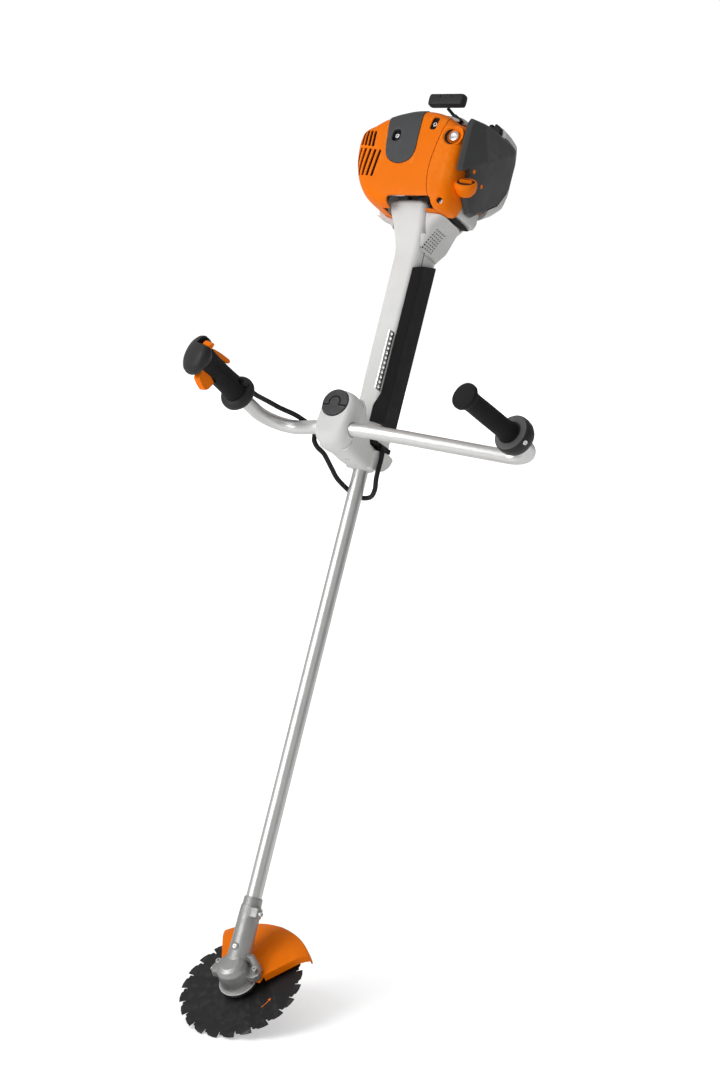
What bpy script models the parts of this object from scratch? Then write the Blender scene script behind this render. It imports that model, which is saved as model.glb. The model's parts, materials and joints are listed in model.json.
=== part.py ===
"""Petrol brush mower: saw blade head, drive tube, bar handle and engine.

World +Z runs along the drive tube from the cutting head up to the engine, -Y is the upper
side in use and +X the operator's left. Sizes are millimetres in a working frame whose origin
is where the tube axis meets the blade axis. place() scales them to metres and moves the
machine so that the world origin is the point of the harness strip from which it hangs.
"""
import math

import bmesh
import bpy
from mathutils import Matrix, Vector

MM = 0.001
GAP = 0.4
HANG_POINT = Vector((21.2, -37.5, 1119.0))

# Cutting head, along the blade axis: heights below the origin are negative.
HEAD_ANGLE = math.radians(57.5)
BLADE_R = 112.5
BLADE_TEETH = 22
BLADE_TOP = -32.0
BLADE_THICKNESS = 1.9
FLANGE_R = 33.5
LUG_X = 38.0
FLANGE_BOTTOM = -18.5
GUARD_R = 130.0
GUARD_TOP = -10.0
GUARD_EDGE = -19.0
GUARD_SKIRT = -40.0
GUARD_WALL = 3.0

# Drive tube and shaft.
TUBE_R = 14.0
TUBE_BORE_R = 12.2
TUBE_START = 36.0
TUBE_END = 1340.0
SHAFT_R = 4.0
SHAFT_END = 1373.0

# Handlebar clamp: the bar axis crosses over the tube here.
BAR_R = 12.7
BAR_HEIGHT = 115.0
BAR_Z = 960.0
BAR_TILT = math.radians(7.5)
KNOB_W = 40.0
KNOB_R = 27.0

# Control handle and plain grip, in the plane of the bar.
CONTROL_X = -142.0
CONTROL_RISE = 18.0
LEVER_HINGE = (14.0, 214.0)
GRIP_LEAN = math.radians(11.4)
GRIP_BASE = (367.0, 55.0)
GRIP_START = -15.0
COLLAR_SHIFT = 4.0

# Engine.
COVER_X = 107.5
CHOKE_CENTRE = (120.0, 79.0, 1455.0)
CHOKE_AXIS = Vector((0.184, -0.671, 0.718)).normalized()
ROPE_START = (50.0, 56.0, 1594.0)
ROPE_END = (26.0, 60.0, 1615.0)


def world(x, u, z):
    """A world point in millimetres from x, height u on the upper side, and z along the tube."""
    return Vector((x, -u, z))


def frame(origin, x_axis, y_axis, z_axis):
    """A matrix whose columns are the three axes and the origin, in millimetres."""
    matrix = Matrix((x_axis, y_axis, z_axis)).transposed().to_4x4()
    matrix.translation = origin
    return matrix


def frame_along(origin, axis):
    """A frame at origin with +Z along axis."""
    matrix = axis.to_track_quat("Z", "Y").to_matrix().to_4x4()
    matrix.translation = origin
    return matrix


TUBE = Matrix.Identity(4)
HEAD = frame(
    Vector((0, 0, 0)),
    Vector((1, 0, 0)),
    Vector((0, math.cos(HEAD_ANGLE), math.sin(HEAD_ANGLE))),
    Vector((0, -math.sin(HEAD_ANGLE), math.cos(HEAD_ANGLE))),
)
# Clamp frame: x along the bar, y towards the engine, z up out of the clamp.
CLAMP = frame(
    world(0, BAR_HEIGHT, BAR_Z),
    Vector((1, 0, 0)),
    Vector((0, math.sin(BAR_TILT), math.cos(BAR_TILT))),
    Vector((0, -math.cos(BAR_TILT), math.sin(BAR_TILT))),
)
# Engine frame: x across, y along the tube, z up out of the top face.
ENGINE = frame(Vector((0, 0, 0)), Vector((1, 0, 0)), Vector((0, 0, 1)), Vector((0, -1, 0)))


def clear_scene():
    for obj in list(bpy.data.objects):
        bpy.data.objects.remove(obj)


def make_collection(name, hidden):
    collection = bpy.data.collections.new(name)
    bpy.context.scene.collection.children.link(collection)
    collection.hide_render = hidden
    return collection


def make_material(name, colour, metallic, roughness):
    material = bpy.data.materials.new(name)
    material.use_nodes = True
    shader = material.node_tree.nodes["Principled BSDF"]
    shader.inputs["Base Color"].default_value = (*colour, 1)
    shader.inputs["Metallic"].default_value = metallic
    shader.inputs["Roughness"].default_value = roughness
    return material


LOOKS = {
    "orange": ((0.9, 0.2, 0.01), 0.0, 0.35),
    "black": ((0.02, 0.02, 0.02), 0.0, 0.6),
    "dark": ((0.05, 0.05, 0.055), 0.0, 0.5),
    "pale": ((0.7, 0.7, 0.68), 0.0, 0.45),
    "aluminium": ((0.75, 0.75, 0.75), 1.0, 0.35),
    "cast": ((0.5, 0.5, 0.5), 1.0, 0.5),
    "steel": ((0.6, 0.6, 0.62), 1.0, 0.25),
    "rubber": ((0.02, 0.02, 0.02), 0.0, 0.8),
}


def in_metres(matrix):
    """A working frame as a world matrix, seen from the hang point."""
    return Matrix.Translation((matrix.translation - HANG_POINT) * MM) @ matrix.to_3x3().to_4x4()


def place(obj, matrix, look):
    """Links a sub-part, gives it its material and puts it in its frame."""
    obj.data.materials.append(make_material(obj.name, *LOOKS[look]))
    PARTS.objects.link(obj)
    obj.matrix_world = in_metres(matrix)
    return obj


def place_cutter(obj, matrix):
    CUTTERS.objects.link(obj)
    obj.matrix_world = in_metres(matrix)
    obj.hide_render = True
    obj.display_type = "WIRE"
    return obj


def cut(obj, cutter, operation="DIFFERENCE"):
    modifier = obj.modifiers.new(cutter.name, "BOOLEAN")
    modifier.operation = operation
    modifier.solver = "EXACT"
    modifier.object = cutter


def mesh_object(name, bm):
    bmesh.ops.recalc_face_normals(bm, faces=bm.faces)
    data = bpy.data.meshes.new(name)
    bm.to_mesh(data)
    bm.free()
    return bpy.data.objects.new(name, data)


def loft(name, rings):
    """A closed solid through rings of the same number of points, in millimetres."""
    bm = bmesh.new()
    rows = [[bm.verts.new(Vector(point) * MM) for point in ring] for ring in rings]
    for lower, upper in zip(rows, rows[1:]):
        for i in range(len(lower)):
            j = (i + 1) % len(lower)
            bm.faces.new((lower[i], lower[j], upper[j], upper[i]))
    bm.faces.new(rows[0][::-1])
    bm.faces.new(rows[-1])
    return mesh_object(name, bm)


def box(name, low, high):
    ring = [(low[0], low[1]), (high[0], low[1]), (high[0], high[1]), (low[0], high[1])]
    return loft(name, [[(x, y, z) for x, y in ring] for z in (low[2], high[2])])


def boxes(name, spans):
    """Several boxes in one object, for use as a cutter."""
    bm = bmesh.new()
    for low, high in spans:
        centre = (Vector(low) + Vector(high)) / 2 * MM
        size = (Vector(high) - Vector(low)) * MM
        matrix = Matrix.Translation(centre) @ Matrix.Diagonal((*size, 1))
        bmesh.ops.create_cube(bm, size=1, matrix=matrix)
    return mesh_object(name, bm)


def prism(name, outline, low, high):
    return loft(name, [[(x, y, z) for x, y in outline] for z in (low, high)])


def turned(name, profile, segments, hollow=False):
    """A profile of (radius, height) turned about Z: solid from axis to axis, or a closed ring."""
    data = bpy.data.meshes.new(name)
    points = [(r * MM, 0, h * MM) for r, h in profile]
    edges = [(i, i + 1) for i in range(len(points) - 1)]
    if hollow:
        edges.append((len(points) - 1, 0))
    data.from_pydata(points, edges, [])
    obj = bpy.data.objects.new(name, data)
    screw = obj.modifiers.new("turn", "SCREW")
    screw.steps = segments
    screw.render_steps = segments
    screw.use_merge_vertices = True
    screw.merge_threshold = 0.00001
    return obj


def rod(name, radius, low, high, segments):
    return turned(name, [(0, high), (radius, high), (radius, low), (0, low)], segments)


def ring_part(name, inner, outer, low, high, segments):
    profile = [(inner, high), (outer, high), (outer, low), (inner, low)]
    return turned(name, profile, segments, hollow=True)


def curve_tube(name, points, radius, resolution):
    """A round bar along a path of points in millimetres."""
    data = bpy.data.curves.new(name, "CURVE")
    data.dimensions = "3D"
    data.bevel_depth = radius * MM
    data.bevel_resolution = resolution
    data.use_fill_caps = True
    spline = data.splines.new("POLY")
    spline.points.add(len(points) - 1)
    for point, at in zip(spline.points, points):
        point.co = (*(Vector(at) * MM), 1)
    return bpy.data.objects.new(name, data)


def as_mesh_object(name, curve):
    """The mesh of a curve object, so that it can take part in a Boolean."""
    data = bpy.data.meshes.new_from_object(curve)
    bm = bmesh.new()
    bm.from_mesh(data)
    bmesh.ops.remove_doubles(bm, verts=bm.verts, dist=1e-6)
    bpy.data.objects.remove(curve)
    return mesh_object(name, bm)


def rounded(outline, radius, steps):
    """An outline with each corner replaced by an arc of at most this radius."""
    found = []
    for i, here in enumerate(outline):
        here = Vector(here)
        before = Vector(outline[i - 1]) - here
        after = Vector(outline[(i + 1) % len(outline)]) - here
        reach = min(radius, before.length * 0.45, after.length * 0.45)
        start = here + before.normalized() * reach
        end = here + after.normalized() * reach
        for k in range(steps + 1):
            t = k / steps
            bend = start * (1 - t) ** 2 + here * 2 * t * (1 - t) + end * t**2
            found.append((bend.x, bend.y))
    return found


def scaled(outline, factor, centre):
    return [
        (centre[0] + (x - centre[0]) * factor, centre[1] + (y - centre[1]) * factor)
        for x, y in outline
    ]


def rectangle(x0, x1, y0, y1):
    return [(x0, y0), (x1, y0), (x1, y1), (x0, y1)]


def smooth_path(points, passes):
    """Corner cutting: each pass replaces an inner corner by two points."""
    path = [Vector(point) for point in points]
    for _ in range(passes):
        finer = [path[0]]
        for a, b in zip(path, path[1:]):
            finer += [a.lerp(b, 0.25), a.lerp(b, 0.75)]
        path = finer + [path[-1]]
    return path


# --- cutting head ---


def tooth_outline():
    """Blade outline: each tooth has a short raked face, a tip land and a stepped gullet."""
    points = []
    step = 2 * math.pi / BLADE_TEETH
    shape = [(0.0, 1.0), (0.30, 0.995), (0.62, 0.975), (0.70, 0.945), (0.90, 0.94)]
    shape += [(0.93, 0.90), (0.985, 0.905)]
    for tooth in range(BLADE_TEETH):
        for along, reach in shape:
            angle = -(tooth + along) * step
            points.append((BLADE_R * reach * math.cos(angle), BLADE_R * reach * math.sin(angle)))
    return points[::-1]


def build_blade():
    low = BLADE_TOP - BLADE_THICKNESS
    blade = prism("saw_blade", tooth_outline(), low, BLADE_TOP)
    cut(blade, place_cutter(rod("blade_bore", 12.7, -60, 0, 24), HEAD))
    place(blade, HEAD, "black")


def build_arbor():
    top = FLANGE_BOTTOM - 1.0
    profile = [(6.4, top), (31.5, top), (33.0, top - 2), (33.0, top - 4.5), (22.0, top - 6.5)]
    profile += [(22.0, BLADE_TOP + GAP), (12.3, BLADE_TOP + GAP), (12.3, BLADE_TOP - 1.7)]
    profile += [(6.4, BLADE_TOP - 1.7)]
    place(turned("thrust_plate", profile, 24, hollow=True), HEAD, "black")
    seat = BLADE_TOP - BLADE_THICKNESS - GAP
    dish = [(13.5, seat), (30.0, seat), (37.0, seat - 4), (34.0, seat - 9), (22.0, seat - 13)]
    dish += [(13.5, seat - 13)]
    place(turned("rider_plate", dish, 24, hollow=True), HEAD, "steel")
    nut = [(7.2, seat), (13.0, seat), (13.0, seat - 3), (9.5, seat - 3), (9.5, seat - 11)]
    nut += [(7.2, seat - 11)]
    place(turned("blade_nut", nut, 6, hollow=True), HEAD, "steel")
    place(rod("output_shaft", 6.0, seat - 12, 3, 16), HEAD, "steel")


def build_gears():
    gear = [(6.4, -1.9), (8.0, -2.3), (18.5, -4.9), (18.5, -7.5), (10.0, -9.5), (10.0, -15.0)]
    gear += [(6.4, -15.0)]
    place(turned("output_gear", gear, 24, hollow=True), HEAD, "steel")
    pinion = [(4.4, 24.0), (10.5, 24.0), (13.6, 14.2), (8.4, 8.9), (4.4, 8.9)]
    place(turned("drive_pinion", pinion, 20, hollow=True), TUBE, "steel")


def build_gearbox():
    profile = [(0, 29), (17, 29), (25, 25), (28.5, 17), (29, -8), (31, -14), (FLANGE_R, -16)]
    profile += [(FLANGE_R, FLANGE_BOTTOM), (0, FLANGE_BOTTOM)]
    case = turned("gearbox_housing", profile, 28)
    profile = [(0, 134), (15.8, 134), (16.4, 132), (16.6, 119), (18.4, 115), (19.6, 60), (21, 25)]
    profile += [(21, 4), (0, 4)]
    sleeve = turned("gearbox_sleeve", profile, 20)
    cut(case, place_cutter(sleeve, TUBE), "UNION")
    for side in (-1, 1):
        pad = [(side * 12, -4), (side * 44, -4), (side * 47, 8), (side * 42, 24), (side * 12, 27)]
        pad = pad if side > 0 else pad[::-1]
        lug = prism(f"guard_lug_{side}", pad, GUARD_TOP + GAP, 5)
        cut(case, place_cutter(lug, HEAD), "UNION")
    boss = loft(
        "clamp_boss",
        [[(x, y, z) for x, y in rounded(rectangle(8, 29, 2, 24), 5, 2)] for z in (100, 116)],
    )
    cut(case, place_cutter(boss, frame(Vector((0, 0, 0)), (1, 0, 0), (0, -1, 0), (0, 0, 1))), "UNION")
    cut(case, place_cutter(rod("tube_bore", TUBE_R + GAP, 30, 160, 24), TUBE))
    cut(case, place_cutter(rod("pinion_room", 15.0, 0, 40, 20), TUBE))
    cut(case, place_cutter(rod("gear_room", 20.5, -40, 18, 24), HEAD))
    cut(case, place_cutter(rod("boss_hole", 2.9, -60, 60, 12), BOSS_SCREW))
    for x in (-LUG_X, LUG_X):
        hole = rod(f"lug_hole_{x}", 2.9, -60, 20, 12)
        cut(case, place_cutter(hole, HEAD @ Matrix.Translation((x, 12, 0))))
    place(case, HEAD, "cast")


BOSS_SCREW = frame(world(22, 19, 108), (0, 0, 1), (0, 1, 0), (-1, 0, 0))


def cap_screw(name, matrix, shank, length, head_r, head_h):
    """A hex-socket screw: the head sits on the frame's origin and the shank runs down."""
    profile = [(0, head_h * 0.4), (head_r * 0.5, head_h * 0.4), (head_r * 0.5, head_h)]
    profile += [(head_r * 0.9, head_h), (head_r, head_h * 0.8), (head_r, 0)]
    profile += [(shank, 0), (shank, -length), (0, -length)]
    place(turned(name, profile, 12), matrix, "steel")


def build_head_screws():
    clamp_screw = frame(world(29.4, 19, 108), (0, 0, -1), (0, 1, 0), (1, 0, 0))
    cap_screw("gearbox_clamp_screw", clamp_screw, 2.5, 20, 4.6, 4)
    for name, x in (("guard_screw_left", -LUG_X), ("guard_screw_right", LUG_X)):
        cap_screw(name, HEAD @ Matrix.Translation((x, 12, 5.4)), 2.5, 19, 5.0, 4.5)


def arc_points(radius, start, end, steps):
    turns = [start + (end - start) * i / steps for i in range(steps + 1)]
    return [(radius * math.cos(turn), radius * math.sin(turn)) for turn in turns]


def guard_outline(radius, side_inset):
    """Sector behind the gear case: two straight edges and an outer arc."""
    start = math.radians(40) + side_inset / radius
    end = math.radians(132) - side_inset / radius
    outer = arc_points(radius, start, end, 16)
    for end_point, corner in ((outer[-1], (-46, 22)), (outer[0], (46, 16))):
        edge = Vector(corner) - Vector(end_point)
        reach = Vector(corner) + edge.normalized() * 8 * side_inset
        outer.append((reach.x + math.copysign(side_inset, -corner[0]), reach.y))
    return outer


def guard_solid(name, inset, bottom, drop):
    """The guard's outer form, or its hollow when inset: a flat middle that slopes to the edge."""
    outer = guard_outline(GUARD_R - inset, inset)
    middle = scaled(outer, 0.62, (0, 44))
    rings = [(outer, bottom), (outer, GUARD_EDGE + drop), (middle, GUARD_TOP + drop)]
    return loft(name, [[(x, y, z) for x, y in ring] for ring, z in rings])


def build_guard():
    guard = guard_solid("blade_guard", 0, GUARD_SKIRT, 0)
    cut(guard, place_cutter(guard_solid("guard_hollow", GUARD_WALL, -80, -GUARD_WALL), HEAD))
    cut(guard, place_cutter(rod("guard_blade_room", BLADE_R + 6, -80, -27, 32), HEAD))
    rib = prism("guard_rib", [(8, 42), (12, 42), (12, 124), (4, 124)], GUARD_TOP - 2, GUARD_TOP + 2.5)
    cut(guard, place_cutter(rib, HEAD), "UNION")
    for x in (-LUG_X, LUG_X):
        tab = prism(f"guard_tab_{x}", rectangle(x - 9, x + 9, 2, 40), GUARD_TOP - 3.8, GUARD_TOP - 0.2)
        cut(guard, place_cutter(tab, HEAD), "UNION")
    room = [(0, 20), (FLANGE_R - 1.8, 20), (FLANGE_R - 1.8, -15.4), (FLANGE_R + 0.7, -15.4)]
    room += [(FLANGE_R + 0.7, -40), (0, -40)]
    cut(guard, place_cutter(turned("guard_case_room", room, 24), HEAD))
    for x in (-LUG_X, LUG_X):
        hole = rod(f"guard_hole_{x}", 2.9, -40, 20, 12)
        cut(guard, place_cutter(hole, HEAD @ Matrix.Translation((x, 12, 0))))
    place(guard, HEAD, "orange")


# --- tube and drive line ---


def build_drive_line():
    place(ring_part("drive_tube", TUBE_BORE_R, TUBE_R, TUBE_START, TUBE_END, 24), TUBE, "aluminium")
    place(rod("drive_shaft", SHAFT_R, 9.5, SHAFT_END, 12), TUBE, "steel")
    place(ring_part("shaft_bush_lower", SHAFT_R + GAP, TUBE_BORE_R - GAP, 400, 416, 16), TUBE, "rubber")
    place(ring_part("shaft_bush_upper", SHAFT_R + GAP, TUBE_BORE_R - GAP, 1180, 1196, 16), TUBE, "rubber")
    drum = [(SHAFT_R + GAP, 1380), (28.5, 1380), (28.5, 1398), (31, 1398), (31, 1377), (10, 1377)]
    drum += [(10, 1360), (SHAFT_R + GAP, 1360)]
    place(turned("clutch_drum", drum, 24, hollow=True), TUBE, "steel")
    hub = [(8.4, 1397), (27, 1397), (27, 1384), (8.4, 1384)]
    place(turned("clutch_shoes", hub, 24, hollow=True), TUBE, "dark")


# --- handlebar and clamp ---


def build_clamp():
    seam = -10.0
    levels = [
        (seam - GAP, -29, 36, -34, 66),
        (-26, -28, 33, -33, 64),
        (-44, -25, 27, -30, 58),
        (-72, -24, 25, -30, 38),
        (-86, -23, 25, -29, 18),
        (-112, -21, 24, -27, 20),
        (-132, -19, 22, -22, 18),
    ]
    rings = []
    for g, x0, x1, w0, w1 in levels:
        outline = rounded(rectangle(x0, x1, w0, w1), 11, 3)
        rings.append([(x, w, g) for x, w in outline])
    support = loft("clamp_support", rings[::-1])
    foot_sides = [(-26, 0.92), (-22, 1.0), (24, 1.0), (28, 0.92)]
    foot = loft("clamp_foot", [foot_ring(x, size) for x, size in foot_sides])
    cut(support, place_cutter(foot, TUBE), "UNION")
    cut(support, place_cutter(rod("support_tube_bore", TUBE_R + GAP, 800, 1100, 24), TUBE))
    cut(support, place_cutter(rod("support_bar_bore", BAR_R + GAP, -90, 90, 24), BAR_AXIS))
    cut(support, place_cutter(rod("support_stud_bore", 4.4, -60, 60, 12), KNOB_FRAME))
    place(support, CLAMP, "pale")
    build_clamp_cap(seam)
    build_knob()


BAR_AXIS = CLAMP @ Matrix.Rotation(math.pi / 2, 4, "Y")
KNOB_FRAME = CLAMP @ Matrix.Translation((0, KNOB_W, 0))


def foot_ring(x, size):
    """Side outline of the block below the handle housing, as (u, z) at one x."""
    outline = [(16, 920), (-30, 930), (-46, 944), (-54, 962), (-30, 966), (16, 958)]
    corners = scaled(outline, size, (-20, 945))
    return [(x, -u, z) for u, z in rounded(corners, 5, 2)]


def build_clamp_cap(seam):
    levels = [
        (seam, -30, 38, -35, 68),
        (4, -30.5, 38, -36, 68.5),
        (14, -30, 36, -33, 68),
        (20, -28.5, 32, -27, 67),
        (23.5, -25, 27, -20, 64),
    ]
    rings = []
    for g, x0, x1, w0, w1 in levels:
        outline = rounded(rectangle(x0, x1, w0, w1), 26, 5)
        rings.append([(x, w, g) for x, w in outline])
    cap = loft("clamp_cap", rings)
    cut(cap, place_cutter(rod("cap_bar_bore", BAR_R + GAP, -90, 90, 24), BAR_AXIS))
    cut(cap, place_cutter(rod("cap_stud_bore", 4.4, -60, 60, 12), KNOB_FRAME))
    cut(cap, place_cutter(rod("cap_knob_seat", KNOB_R - 1.5, 19.5, 60, 32), KNOB_FRAME))
    place(cap, CLAMP, "pale")


def build_knob():
    top = 26.0
    profile = [(0, top + 1), (8.5, top + 1), (9.5, top), (9.5, top - 2.5), (12.5, top - 2.5)]
    profile += [(12.5, top), (KNOB_R - 4.5, top - 0.5), (KNOB_R - 2.2, top - 2.0), (KNOB_R - 2.2, 19.9)]
    profile += [(4.0, 19.9), (4.0, -40), (0, -40)]
    place(turned("clamp_knob", profile, 28), KNOB_FRAME, "black")


def bar_path():
    """Centre line of the handlebar in the clamp frame: bends are cut corners."""
    lean = math.tan(GRIP_LEAN)
    drop = -73
    corner = (GRIP_BASE[0] + lean * (GRIP_BASE[1] - drop), drop)
    tip = (GRIP_BASE[0] - lean * 98, GRIP_BASE[1] + 98)
    top = 170 + CONTROL_RISE
    path = [(CONTROL_X, top)]
    path += arc_between((CONTROL_X, top), (CONTROL_X, -10), (-75, -7), 58)
    path += [(-75, -7), (-40, 0), (62, 0), (140, -15)]
    path += arc_between((140, -15), corner, tip, 46)
    path.append(tip)
    return [(x, 0, g) for x, g in path]


def arc_between(a, corner, b, radius):
    """Points of the arc of this radius that rounds the corner between a and b."""
    a, corner, b = Vector(a), Vector(corner), Vector(b)
    into = (a - corner).normalized()
    out = (b - corner).normalized()
    half = into.angle(out) / 2
    reach = radius / math.tan(half)
    centre = corner + (into + out).normalized() * radius / math.sin(half)
    first = corner + into * reach - centre
    last = corner + out * reach - centre
    turn = first.angle_signed(last)
    steps = 10
    found = []
    for i in range(steps + 1):
        spin = Matrix.Rotation(-turn * i / steps, 2)
        point = centre + spin @ first
        found.append((point.x, point.y))
    return found


def build_handlebar():
    place(curve_tube("handlebar", bar_path(), BAR_R, 4), CLAMP, "aluminium")


GRIP_PLACE = Matrix.Translation((GRIP_BASE[0], 0, GRIP_BASE[1]))
GRIP_FRAME = CLAMP @ GRIP_PLACE @ Matrix.Rotation(-GRIP_LEAN, 4, "Y")
CONTROL_FRAME = CLAMP @ Matrix.Translation((CONTROL_X, 0, CONTROL_RISE))


def build_plain_grip():
    grip = turned(
        "left_grip",
        [(0, 119), (13, 118.5), (22, 115), (24, 111), (23.5, 106), (18.5, 100), (17, 88), (17.6, 45)]
        + [(17, 5), (19, GRIP_START + 8), (24, GRIP_START + GAP), (13.1, GRIP_START + GAP)]
        + [(13.1, 106), (0, 106)],
        24,
    )
    place(grip, GRIP_FRAME, "rubber")
    collar_frame = GRIP_FRAME @ Matrix.Translation((COLLAR_SHIFT, 0, GRIP_START))
    collar = turned(
        "grip_collar",
        [(0, 0), (29, 0), (32, -2.5), (33, -12), (31, -23), (24, -31), (0, -31)],
        28,
    )
    bore = rod("collar_bore", 13.1, -60, 60, 24)
    cut(collar, place_cutter(bore, GRIP_FRAME))
    hole = rod("collar_screw_hole", 4.6, 22, 60, 12)
    screw_frame = collar_frame @ Matrix.Rotation(math.radians(-64), 4, "Z") @ Matrix.Translation((0, 0, -13))
    screw_frame = screw_frame @ Matrix.Rotation(math.pi / 2, 4, "Y")
    cut(collar, place_cutter(hole, screw_frame))
    place(collar, collar_frame, "black")
    cap_screw("grip_screw", screw_frame @ Matrix.Translation((0, 0, 29.0)), 2.4, 6, 4.0, 3.4)


def build_control_handle():
    flange = turned(
        "control_flange",
        [(13.1, 107), (21, 107), (29, 104), (32.5, 99), (31.5, 93), (24, 86), (13.1, 84)],
        28,
        hollow=True,
    )
    notch = rod("cable_exit", 5.0, 70, 120, 12)
    cut(flange, place_cutter(notch, CONTROL_FRAME @ Matrix.Translation((20, 11, 0))))
    place(flange, CONTROL_FRAME, "black")
    for name, side in (("control_shell_front", -1), ("control_shell_rear", 1)):
        shell = turned(
            name,
            [(15.6, 222), (20.5, 222), (19.8, 205), (19, 160), (19.8, 125), (21, 107.4)]
            + [(15.6, 107.4)],
            28,
            hollow=True,
        )
        low, high = (0.2 - 60, 0.2) if side > 0 else (-0.2, 60)
        half = box(f"{name}_half", (-40, low, 90), (40, high, 240))
        cut(shell, place_cutter(half, CONTROL_FRAME))
        width = 7.5 if side < 0 else 5.5
        slot_low = 172 if side < 0 else 186
        near, far = (4, 40) if side > 0 else (-40, -4)
        slot = box(f"{name}_slot", (-width, near, slot_low), (width, far, 230))
        cut(shell, place_cutter(slot, CONTROL_FRAME))
        cable_groove = rod(f"{name}_cable", 5.0, 90, 130, 12)
        cut(shell, place_cutter(cable_groove, CONTROL_FRAME @ Matrix.Translation((20, 11, 0))))
        place(shell, CONTROL_FRAME, "black")
    head = turned(
        "control_head",
        [(0, 251), (14, 250), (25, 246.5), (31, 241), (33.5, 233), (32, 226), (27, 222.4), (0, 222.4)],
        32,
    )
    pocket = box("switch_pocket", (-4, 17, 236), (14, 40, 247.2))
    cut(head, place_cutter(pocket, CONTROL_FRAME))
    place(head, CONTROL_FRAME, "black")


def side_lever(name, side, outline, width, look):
    """A flat lever in the (w, g) plane of the control handle, with its origin on its hinge axis."""
    hinge = (side * LEVER_HINGE[0], LEVER_HINGE[1])
    rings = [[(x, w - hinge[0], g - hinge[1]) for w, g in outline] for x in (-width / 2, width / 2)]
    lever = loft(name, rings)
    bevel = lever.modifiers.new("edges", "BEVEL")
    bevel.width = 0.0012
    bevel.segments = 1
    bevel.limit_method = "ANGLE"
    place(lever, CONTROL_FRAME @ Matrix.Translation((0, *hinge)), look)


def build_controls():
    trigger = [(-11, 218), (-22, 220), (-34, 214), (-39, 202), (-36, 188), (-29, 177), (-22, 176)]
    trigger.append((-13, 198))
    side_lever("throttle_trigger", -1, trigger, 13.0, "orange")
    lockout = [(10, 219), (18, 221), (26, 219), (28.5, 208), (25, 192), (20, 188), (16, 192), (10, 208)]
    side_lever("lockout_lever", 1, lockout, 9.0, "orange")
    switch = [(21, 237.0), (31.5, 237.5), (32.5, 241.5), (29, 245.5), (21, 246.6)]
    rings = [[(x, w, g) for w, g in switch] for x in (0, 9.5)]
    place(loft("stop_switch", rings), CONTROL_FRAME, "orange")


def cable_path():
    """Throttle cable: down the inner side of the bar, under it, round the tube and into the foot."""
    in_clamp = [(-122, 11, 122 + CONTROL_RISE), (-122, 11, 96), (-121, 19, 52), (-110, 20, 26), (-90, 20, 0)]
    in_clamp += [(-74, 15, -24), (-62, 2, -32), (-54, -14, -28), (-48, -23, -36)]
    start = [CLAMP @ Vector(point) for point in in_clamp]
    rest = [world(-40, 68, 925), world(-34, 44, 908), world(-29, 18, 893), world(-14, -26, 880)]
    rest += [world(12, -30, 880), world(30, -14, 890), world(36, 0, 912), world(36, 0, 952)]
    rest += [world(31, -1, 967), world(17, -9, 973), world(15, -12, 992)]
    return smooth_path(start + rest, 1)


def build_cable():
    place(curve_tube("throttle_cable", cable_path(), 4.0, 2), TUBE, "black")


# --- handle housing ---

LEG_LEVELS = [
    (978, 27, 32, 44),
    (1040, 27, 33, 42),
    (1330, 28.5, 34, 42),
    (1352, 30.5, 38, 44),
    (1385, 36.5, 52, 48),
    (1408, 41, 65, 50),
    (1424, 42, 69, 50),
]


def leg_outline(half_width, front, back, inset):
    """Cross-section with chamfered front corners, as (x, y) with y down the back."""
    w, f, b = half_width - inset, front - inset, back - inset
    corner = [(-w, b - 12), (-w, 12 - f), (-w + 8, -f), (w - 8, -f), (w, 12 - f), (w, b - 12)]
    return corner + [(w - 10, b), (-w + 10, b)]


def leg_solid(name, inset, low=None, high=None):
    rings = []
    for i, (z, w, f, b) in enumerate(LEG_LEVELS):
        if i == 0 and low is not None:
            z = low
        if i == len(LEG_LEVELS) - 1 and high is not None:
            z = high
        rings.append([(x, y, z) for x, y in rounded(leg_outline(w, f, b, inset), 5, 1)])
    return loft(name, rings)


def split_block(name, side):
    """Half space on one side of the housing's seam, which runs up the right front corner."""
    outline = [(-90, 2), (90, -52), (90, 200 * side), (-90, 200 * side)]
    shift = -GAP / 2 * side
    levels = [(900, 3), (1300, 0), (1500, -22)]
    return loft(name, [[(x, y + shift + rise, z) for x, y in outline] for z, rise in levels])


def build_leg():
    for name, side in (("handle_housing_front", 1), ("handle_housing_rear", -1)):
        shell = leg_solid(name, 0)
        cut(shell, place_cutter(leg_solid(f"{name}_hollow", 2.6, 960, 1440), TUBE))
        cut(shell, place_cutter(split_block(f"{name}_split", side), TUBE))
        if side < 0:
            trim = box("rear_top_trim", (-80, -80, 1364), (80, 80, 1500))
            cut(shell, place_cutter(trim, TUBE))
            cut(shell, place_cutter(vent_pins(), TUBE))
        else:
            roof = prism("front_roof", rounded(leg_outline(41.5, 68.5, 50, 0), 5, 1), 1421, 1424)
            keep = box("front_roof_trim", (-80, -43, 1400), (80, 90, 1450))
            cut(roof, place_cutter(keep, TUBE))
            cut(shell, place_cutter(roof, TUBE), "UNION")
        place(shell, TUBE, "pale")


def vent_pins():
    """Rows of small square holes in the right side of the rear shell."""
    spans = []
    for row in range(4):
        for column in range(3):
            y = -14 + column * 9
            z = 1318 + row * 11
            spans.append(((20, y, z), (60, y + 4, z + 4)))
    return boxes("housing_vents", spans)


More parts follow.
